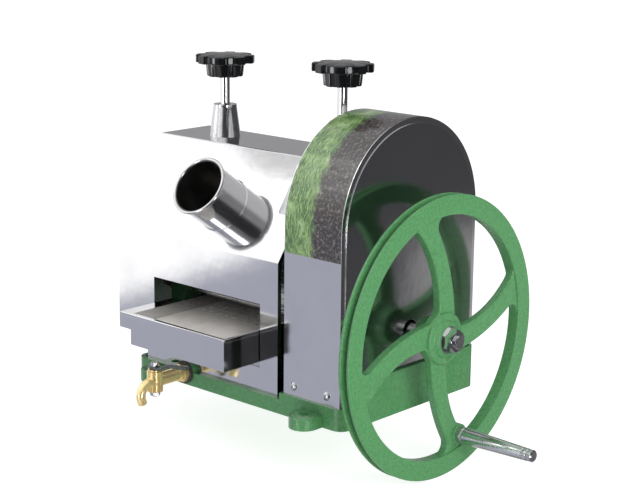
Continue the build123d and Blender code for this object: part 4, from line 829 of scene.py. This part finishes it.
def band_film(sizes):
    """A thin shell over the band: up its front side, then round its top, carried across X.

    The path at radius r is (-r, z) up to the spring of the arch, then (r cos, spring + r sin).
    Its UVs are the length along the path and the distance across, in metres.
    """
    low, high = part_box("gear_cover_band")
    radius = (high.y - low.y) / 2
    spring = high.z - radius
    straight = np.linspace(sizes.film_start, spring, 14)[:-1]
    angle = np.linspace(math.pi, math.pi / 2 - sizes.film_end, 130)
    across = np.linspace(low.x + 0.0015, high.x - 0.0015, 24)

    def path(r):
        side = np.stack([np.full(len(straight), -r), straight], -1)
        arch = np.stack([r * np.cos(angle), spring + r * np.sin(angle)], -1)
        return np.concatenate([side, arch])

    outer, inner = path(radius + sizes.film_thickness), path(radius + 0.00002)
    n, m = len(outer), len(across)
    sheets = [
        np.concatenate([np.tile(across, (n, 1))[..., None], np.repeat(line[:, None], m, 1)], -1)
        for line in (outer, inner)
    ]
    piece = capped_tube("printed_band_film", np.concatenate([sheets[0], sheets[1][:, ::-1]], 1))
    steps = np.linalg.norm(np.diff(outer, axis=0), axis=1)
    length = np.concatenate([[0], np.cumsum(steps)])
    width = np.concatenate([across, across[::-1]]) - across[0]
    uv = np.stack([np.repeat(length[:, None], 2 * m, 1), np.tile(width, (n, 1))], -1)
    set_uv(piece, "Film", uv.reshape(-1, 2))
    smooth_by_angle(piece, 40)
    attach(piece, "machine", "cover_steel", "Printed film")


def slope_film():
    """A blank rectangle of film on the front slope, with rounded corners.

    Its outline is the superellipse |u|^10 + |v|^10 = 1 in the slope's plane, 0.3 mm proud.
    """
    half_width, half_height, middle_x, middle_up = 0.017, 0.026, 0.0575, 0.096
    foot, top = np.array(SLOPE_FOOT), np.array(SLOPE_TOP)
    up = (top - foot) / np.linalg.norm(top - foot)
    out = np.array([-up[1], up[0]])
    angle = np.linspace(0, 2 * math.pi, 96, endpoint=False)
    reach = (np.abs(np.cos(angle)) ** 10 + np.abs(np.sin(angle)) ** 10) ** -0.1
    u, v = half_width * reach * np.cos(angle), half_height * reach * np.sin(angle)
    proud, edge, under = 0.0003, 0.0001, 0.00002
    rows = []
    for share, lift in ((0.0, proud), (0.97, proud), (1.0, edge), (1.0, under), (0.0, under)):
        plane = foot + (middle_up + share * v)[:, None] * up + lift * out
        rows.append(np.stack([middle_x + share * u, plane[:, 0], plane[:, 1]], -1))
    piece = closed_shell("blank_slope_film", np.stack(rows))
    smooth_by_angle(piece, 30)
    attach(piece, "machine", "cover_steel", "Silver film")


class JUICER_OT_tray_hem(Operator):
    """Makes the folded hem along the tray's front and right rims"""

    bl_idname = "juicer.tray_hem"
    bl_label = "Tray hem"

    def execute(self, context):
        tray_hem(context.scene.juicer_sizes.hem_height)
        return {"FINISHED"}


def tray_hem(height):
    """A folded section of (inward, up) carried along the rim, square to the path's tangent."""
    low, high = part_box("strainer_tray")
    corner = 0.0025
    rim = [(low.x, low.y, 0), (high.x, low.y, 0), (high.x, high.y, 0)]
    path = rounded(rim, corner, 8)[:, :2]
    fold = [
        (0.0004, -height), (-0.0006, -height), (-0.0009, -0.001), (-0.0006, 0.0002),
        (0.0012, 0.0002), (0.0016, -0.0006), (0.0004, -0.0012), (0.0004, -height),
    ]
    section = rounded(fold, 0.0005, 4)[:-1]
    tangent = np.gradient(path, axis=0)
    tangent /= np.linalg.norm(tangent, axis=1)[:, None]
    inward = np.stack([-tangent[:, 1], tangent[:, 0]], -1)
    flat = path[:, None, :] + section[None, :, :1] * inward[:, None, :]
    level = np.broadcast_to(high.z + section[None, :, 1:], (len(path), len(section), 1))
    piece = capped_tube("tray_hem", np.concatenate([flat, level], -1))
    smooth_by_angle(piece, 40)
    attach(piece, "tray", "cover_steel")


class JUICER_OT_lever(Operator):
    """Makes the tap's stamped lever"""

    bl_idname = "juicer.lever"
    bl_label = "Tap lever"

    def execute(self, context):
        stamped_lever()
        return {"FINISHED"}


def stamped_lever():
    """A section |u|^4 + |v|^4 = 1 carried along X from behind the tap's stem to the lever's end.

    The path rises in a smooth step and then a slope. The half width narrows behind the eye and
    widens to the end, and both it and the half thickness run out in round ends.
    """
    rows, steps, behind, half = 60, 32, 0.009, 0.00225
    low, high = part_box("tap_lever")
    t = np.linspace(0, 1, rows)
    x = -behind + t * (high.x - LEVER_STEM_X + behind)
    bend = smoothstep((x - 0.012) / 0.018) * 0.008 + np.clip((x - 0.030) / 0.038, 0, 1) * 0.005
    end = np.clip(np.minimum(t / 0.10, (1 - t) / 0.10), 0, 1)
    round_end = np.sqrt(np.clip(1 - (1 - end) ** 2, 0.0, 1))
    narrow, widen = np.clip((x - 0.004) / 0.02, 0, 1), np.clip((x - 0.04) / 0.028, 0, 1)
    half_width = (0.0075 - 0.0022 * narrow + 0.0018 * widen) * round_end
    half_thick = half * np.clip(round_end * 1.8, 0, 1)
    angle = np.linspace(0, 2 * math.pi, steps, endpoint=False)
    c, s = np.cos(angle), np.sin(angle)
    oval = (np.abs(c) ** 4 + np.abs(s) ** 4) ** -0.25
    along = np.repeat((LEVER_STEM_X + x)[:, None], steps, 1)
    across = (low.y + high.y) / 2 + half_width[:, None] * c * oval
    level = (low.z + half + bend)[:, None] + half_thick[:, None] * s * oval
    lever = closed_shell("stamped_lever", np.stack([along, across, level], -1), 1e-5)
    smooth_by_angle(lever, 50)
    stand_for(lever, "tap_lever")


# ------------------------------------------------------------------ stage
CAMERA_PLACE = (1.5559, -1.6852, 0.7397)
CAMERA_AZIMUTH = 42.3
CAMERA_PITCH = 13.1
CAMERA_ROLL = 0.6
SENSOR_WIDTH = 36.0
CAMERA_FOCAL = 1610.7 / 633.0 * SENSOR_WIDTH  # pixels of focal length over pixels of width

# What mirrors see round the machine: towards an aim, from where its field starts to where it is
# full, as cosines, and its colour. Later fields lie over earlier ones.
ROOM_COLOUR = (0.95, 0.95, 0.96)
ROOM_FIELDS = (
    ((0.85, 0.50, -0.10), 0.00, 0.55, (0.075, 0.075, 0.08)),  # right, in the gear cover's face
    ((-0.656, 0.720, 0.227), 0.80, 0.95, (0.36, 0.36, 0.37)),  # behind, in the flat top
    ((-0.620, -0.680, -0.380), 0.84, 0.94, (0.50, 0.51, 0.60)),  # low left, in the front sheet
    ((0.0, 0.0, -1.0), 0.60, 0.90, (0.30, 0.30, 0.30)),  # ground
    ((0.0, 0.0, 1.0), 0.60, 0.80, (1.0, 1.0, 1.0)),  # ceiling
    ((-0.656, -0.468, 0.593), 0.86, 0.97, (1.5, 1.5, 1.5)),  # high left, in the slope
    ((0.650, -0.720, -0.120), 0.82, 0.93, (0.05, 0.05, 0.055)),  # the camera's side
    ((0.160, -0.960, -0.120), 0.965, 0.985, (0.10, 0.10, 0.105)),
    ((0.940, -0.320, -0.130), 0.984, 0.992, (8.0, 8.0, 8.0)),  # strips that glint in round bars
    ((-0.130, -0.980, -0.130), 0.984, 0.992, (8.0, 8.0, 8.0)),
)
LIGHTS = (  # name, place, size in metres, power in watts, seen in mirrors
    ("key", (-1.6, -1.8, 2.2), 1.6, 9.0, True),
    ("fill", (2.4, -0.9, 1.2), 1.6, 50.0, False),
    ("top", (0.2, 0.3, 2.6), 1.8, 9.0, False),
)
CARDS = (  # name, corners, strength, width of the soft edge in metres
    (
        "card_front_left",
        ((-1.85, -0.90, -0.54), (-0.64, -0.90, -0.05), (-0.64, -0.90, 1.28), (-1.85, -0.90, 1.28)),
        1.5, 0.10,
    ),
    (
        "card_above_left",
        ((-1.52, -0.99, 1.50), (-0.95, -0.99, 1.50), (-0.95, -0.45, 1.50), (-1.52, -0.45, 1.50)),
        0.80, 0.10,
    ),
    (
        "card_back_right",
        ((0.87, 0.77, -0.75), (0.87, 1.67, -0.75), (0.87, 1.67, 0.05), (0.87, 0.77, 0.05)),
        0.45, 0.12,
    ),
)


def card(name, corners, strength, soft):
    """A studio card between four corners that only mirrors see, its light fading at its edge.

    A point is the mix of the corners by (1 - u)(1 - v), u (1 - v), u v and (1 - u) v.
    """
    cells = np.linspace(0, 1, 13)
    u, v = (share.reshape(-1, 1) for share in np.meshgrid(cells, cells, indexing="ij"))
    a, b, c, d = (np.array(corner, float) for corner in corners)
    points = (1 - u) * (1 - v) * a + u * (1 - v) * b + u * v * c + (1 - u) * v * d
    piece = new_object(name, points, grid_faces(13, 13), False)
    set_uv(piece, "Card", np.concatenate([u, v], 1))
    paint = bpy.data.materials.new(name)
    paint.use_nodes = True
    tree = paint.node_tree
    tree.nodes.clear()
    parts = add_node(tree, "ShaderNodeSeparateXYZ")
    tree.links.new(add_node(tree, "ShaderNodeUVMap", uv_map="Card").outputs["UV"], parts.inputs[0])
    fades = [
        spread(tree, math_node(tree, "PINGPONG", value, 0.5), 0.0, soft / np.linalg.norm(far - a))
        for value, far in ((parts.outputs[0], b), (parts.outputs[1], d))
    ]
    light = add_node(tree, "ShaderNodeEmission", inputs={"Strength": strength})
    clear = tree.nodes.new("ShaderNodeBsdfTransparent")
    mix = tree.nodes.new("ShaderNodeMixShader")
    tree.links.new(math_node(tree, "MULTIPLY", *fades), mix.inputs[0])
    tree.links.new(clear.outputs[0], mix.inputs[1])
    tree.links.new(light.outputs[0], mix.inputs[2])
    leave = tree.nodes.new("ShaderNodeOutputMaterial")
    tree.links.new(mix.outputs[0], leave.inputs["Surface"])
    piece.data.materials.append(paint)
    piece.visible_camera = False
    piece.visible_shadow = False
    piece.visible_diffuse = False
    piece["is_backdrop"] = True


class JUICER_OT_stage(Operator):
    """Makes the pale floor, the studio light and the camera at the photograph's angle"""

    bl_idname = "juicer.stage"
    bl_label = "Stage"

    def execute(self, context):
        scene = context.scene
        scene.view_settings.view_transform = "Standard"
        scene.view_settings.look = "None"
        self.world(scene)
        self.floor()
        self.lights()
        self.camera(scene)
        return {"FINISHED"}

    def world(self, scene):
        """The camera sees white, mirrors see the room's fields, and the rest a plain ambient."""
        world = bpy.data.worlds.new("Studio")
        scene.world = world
        world.use_nodes = True
        tree = world.node_tree
        around = tree.nodes.new("ShaderNodeTexCoord").outputs["Generated"]
        room = ROOM_COLOUR
        for aim, start, full, colour in ROOM_FIELDS:
            towards = vector_node(tree, "DOT_PRODUCT", around, aim)
            room = blend_colours(tree, spread(tree, towards, start, full), room, colour)
        rays = tree.nodes.new("ShaderNodeLightPath").outputs
        shaded = vector_node(tree, "DOT_PRODUCT", around, (-0.80, -0.55, 0.20))
        dim_side = spread(tree, shaded, 0.0, 0.9)
        ambient = blend_colours(tree, dim_side, (0.80, 0.80, 0.81), (0.22, 0.22, 0.23))
        plain = blend_colours(tree, rays["Is Camera Ray"], ambient, (1.0, 1.0, 1.0))
        seen = blend_colours(tree, rays["Is Glossy Ray"], plain, room)
        tree.links.new(seen, tree.nodes["Background"].inputs["Color"])

    def floor(self):
        """A wide plane just under the machine, which mirrors don't see."""
        size, level = 30.0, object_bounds()[0].z - 0.001
        corners = ((-size, -size), (size, -size), (size, size), (-size, size))
        points = [(*corner, level) for corner in corners]
        floor = new_object("floor", points, [[0, 1, 2, 3]], False)
        finish = Finish("Pale floor", Roughness=0.9, Emission_Strength=0.80)
        feed(finish.tree, finish.shader.inputs["Base Color"], (0.42, 0.42, 0.42))
        feed(finish.tree, finish.shader.inputs["Emission Color"], (1.0, 1.0, 1.0))
        floor.data.materials.append(finish.material)
        floor.visible_glossy = False
        floor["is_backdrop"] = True

    def lights(self):
        """Area lights that look at the machine's middle, and the cards."""
        for name, place, size, power, mirrored in LIGHTS:
            data = bpy.data.lights.new(name, "AREA")
            data.energy = power
            data.size = size
            light = bpy.data.objects.new(name, data)
            light.location = place
            aim = Vector((0, 0, 0.15)) - Vector(place)
            light.rotation_euler = aim.to_track_quat("-Z", "Y").to_euler()
            light.visible_glossy = mirrored
            bpy.context.scene.collection.objects.link(light)
        for values in CARDS:
            card(*values)

    def camera(self, scene):
        """The camera fitted to the photograph."""
        data = bpy.data.cameras.new("photograph")
        data.lens = CAMERA_FOCAL
        data.sensor_width = SENSOR_WIDTH
        camera = bpy.data.objects.new("photograph", data)
        place = Matrix.Translation(CAMERA_PLACE)
        for degrees, axis in ((CAMERA_AZIMUTH, "Z"), (90 - CAMERA_PITCH, "X"), (CAMERA_ROLL, "Z")):
            place = place @ Matrix.Rotation(math.radians(degrees), 4, axis)
        camera.matrix_world = place
        scene.collection.objects.link(camera)
        scene.camera = camera


STEPS = (
    JUICER_OT_finishes,
    JUICER_OT_castings,
    JUICER_OT_gear_cover,
    JUICER_OT_knobs,
    JUICER_OT_grip,
    JUICER_OT_screws,
    JUICER_OT_film,
    JUICER_OT_tray_hem,
    JUICER_OT_lever,
    JUICER_OT_stage,
)


class JUICER_PT_panel(Panel):
    """Lists the juicer's colours, sizes and making steps."""

    bl_label = "Sugarcane Juicer"
    bl_idname = "JUICER_PT_panel"
    bl_space_type = "VIEW_3D"
    bl_region_type = "UI"
    bl_category = "Juicer"

    def draw(self, context):
        for settings in (context.scene.juicer_colours, context.scene.juicer_sizes):
            box = self.layout.box()
            for name in settings.__annotations__:
                box.prop(settings, name)
        for step in STEPS:
            self.layout.operator(step.bl_idname)


CLASSES = (JuicerColours, JuicerSizes, *STEPS, JUICER_PT_panel)


def register():
    """Makes the settings, steps and panel known to Blender."""
    for cls in CLASSES:
        bpy.utils.register_class(cls)
    bpy.types.Scene.juicer_colours = PointerProperty(type=JuicerColours)
    bpy.types.Scene.juicer_sizes = PointerProperty(type=JuicerSizes)


def unregister():
    """Takes back what register does."""
    del bpy.types.Scene.juicer_sizes
    del bpy.types.Scene.juicer_colours
    for cls in reversed(CLASSES):
        bpy.utils.unregister_class(cls)


def main():
    """Runs every step in order."""
    register()
    for old in ("Cube", "Light", "Camera"):
        if old in bpy.data.objects:
            bpy.data.objects.remove(bpy.data.objects[old])
    for step in STEPS:
        group, name = step.bl_idname.split(".")
        if getattr(getattr(bpy.ops, group), name)() != {"FINISHED"}:
            raise RuntimeError(f"{step.bl_label} did not finish")


if __name__ == "__main__":
    main()
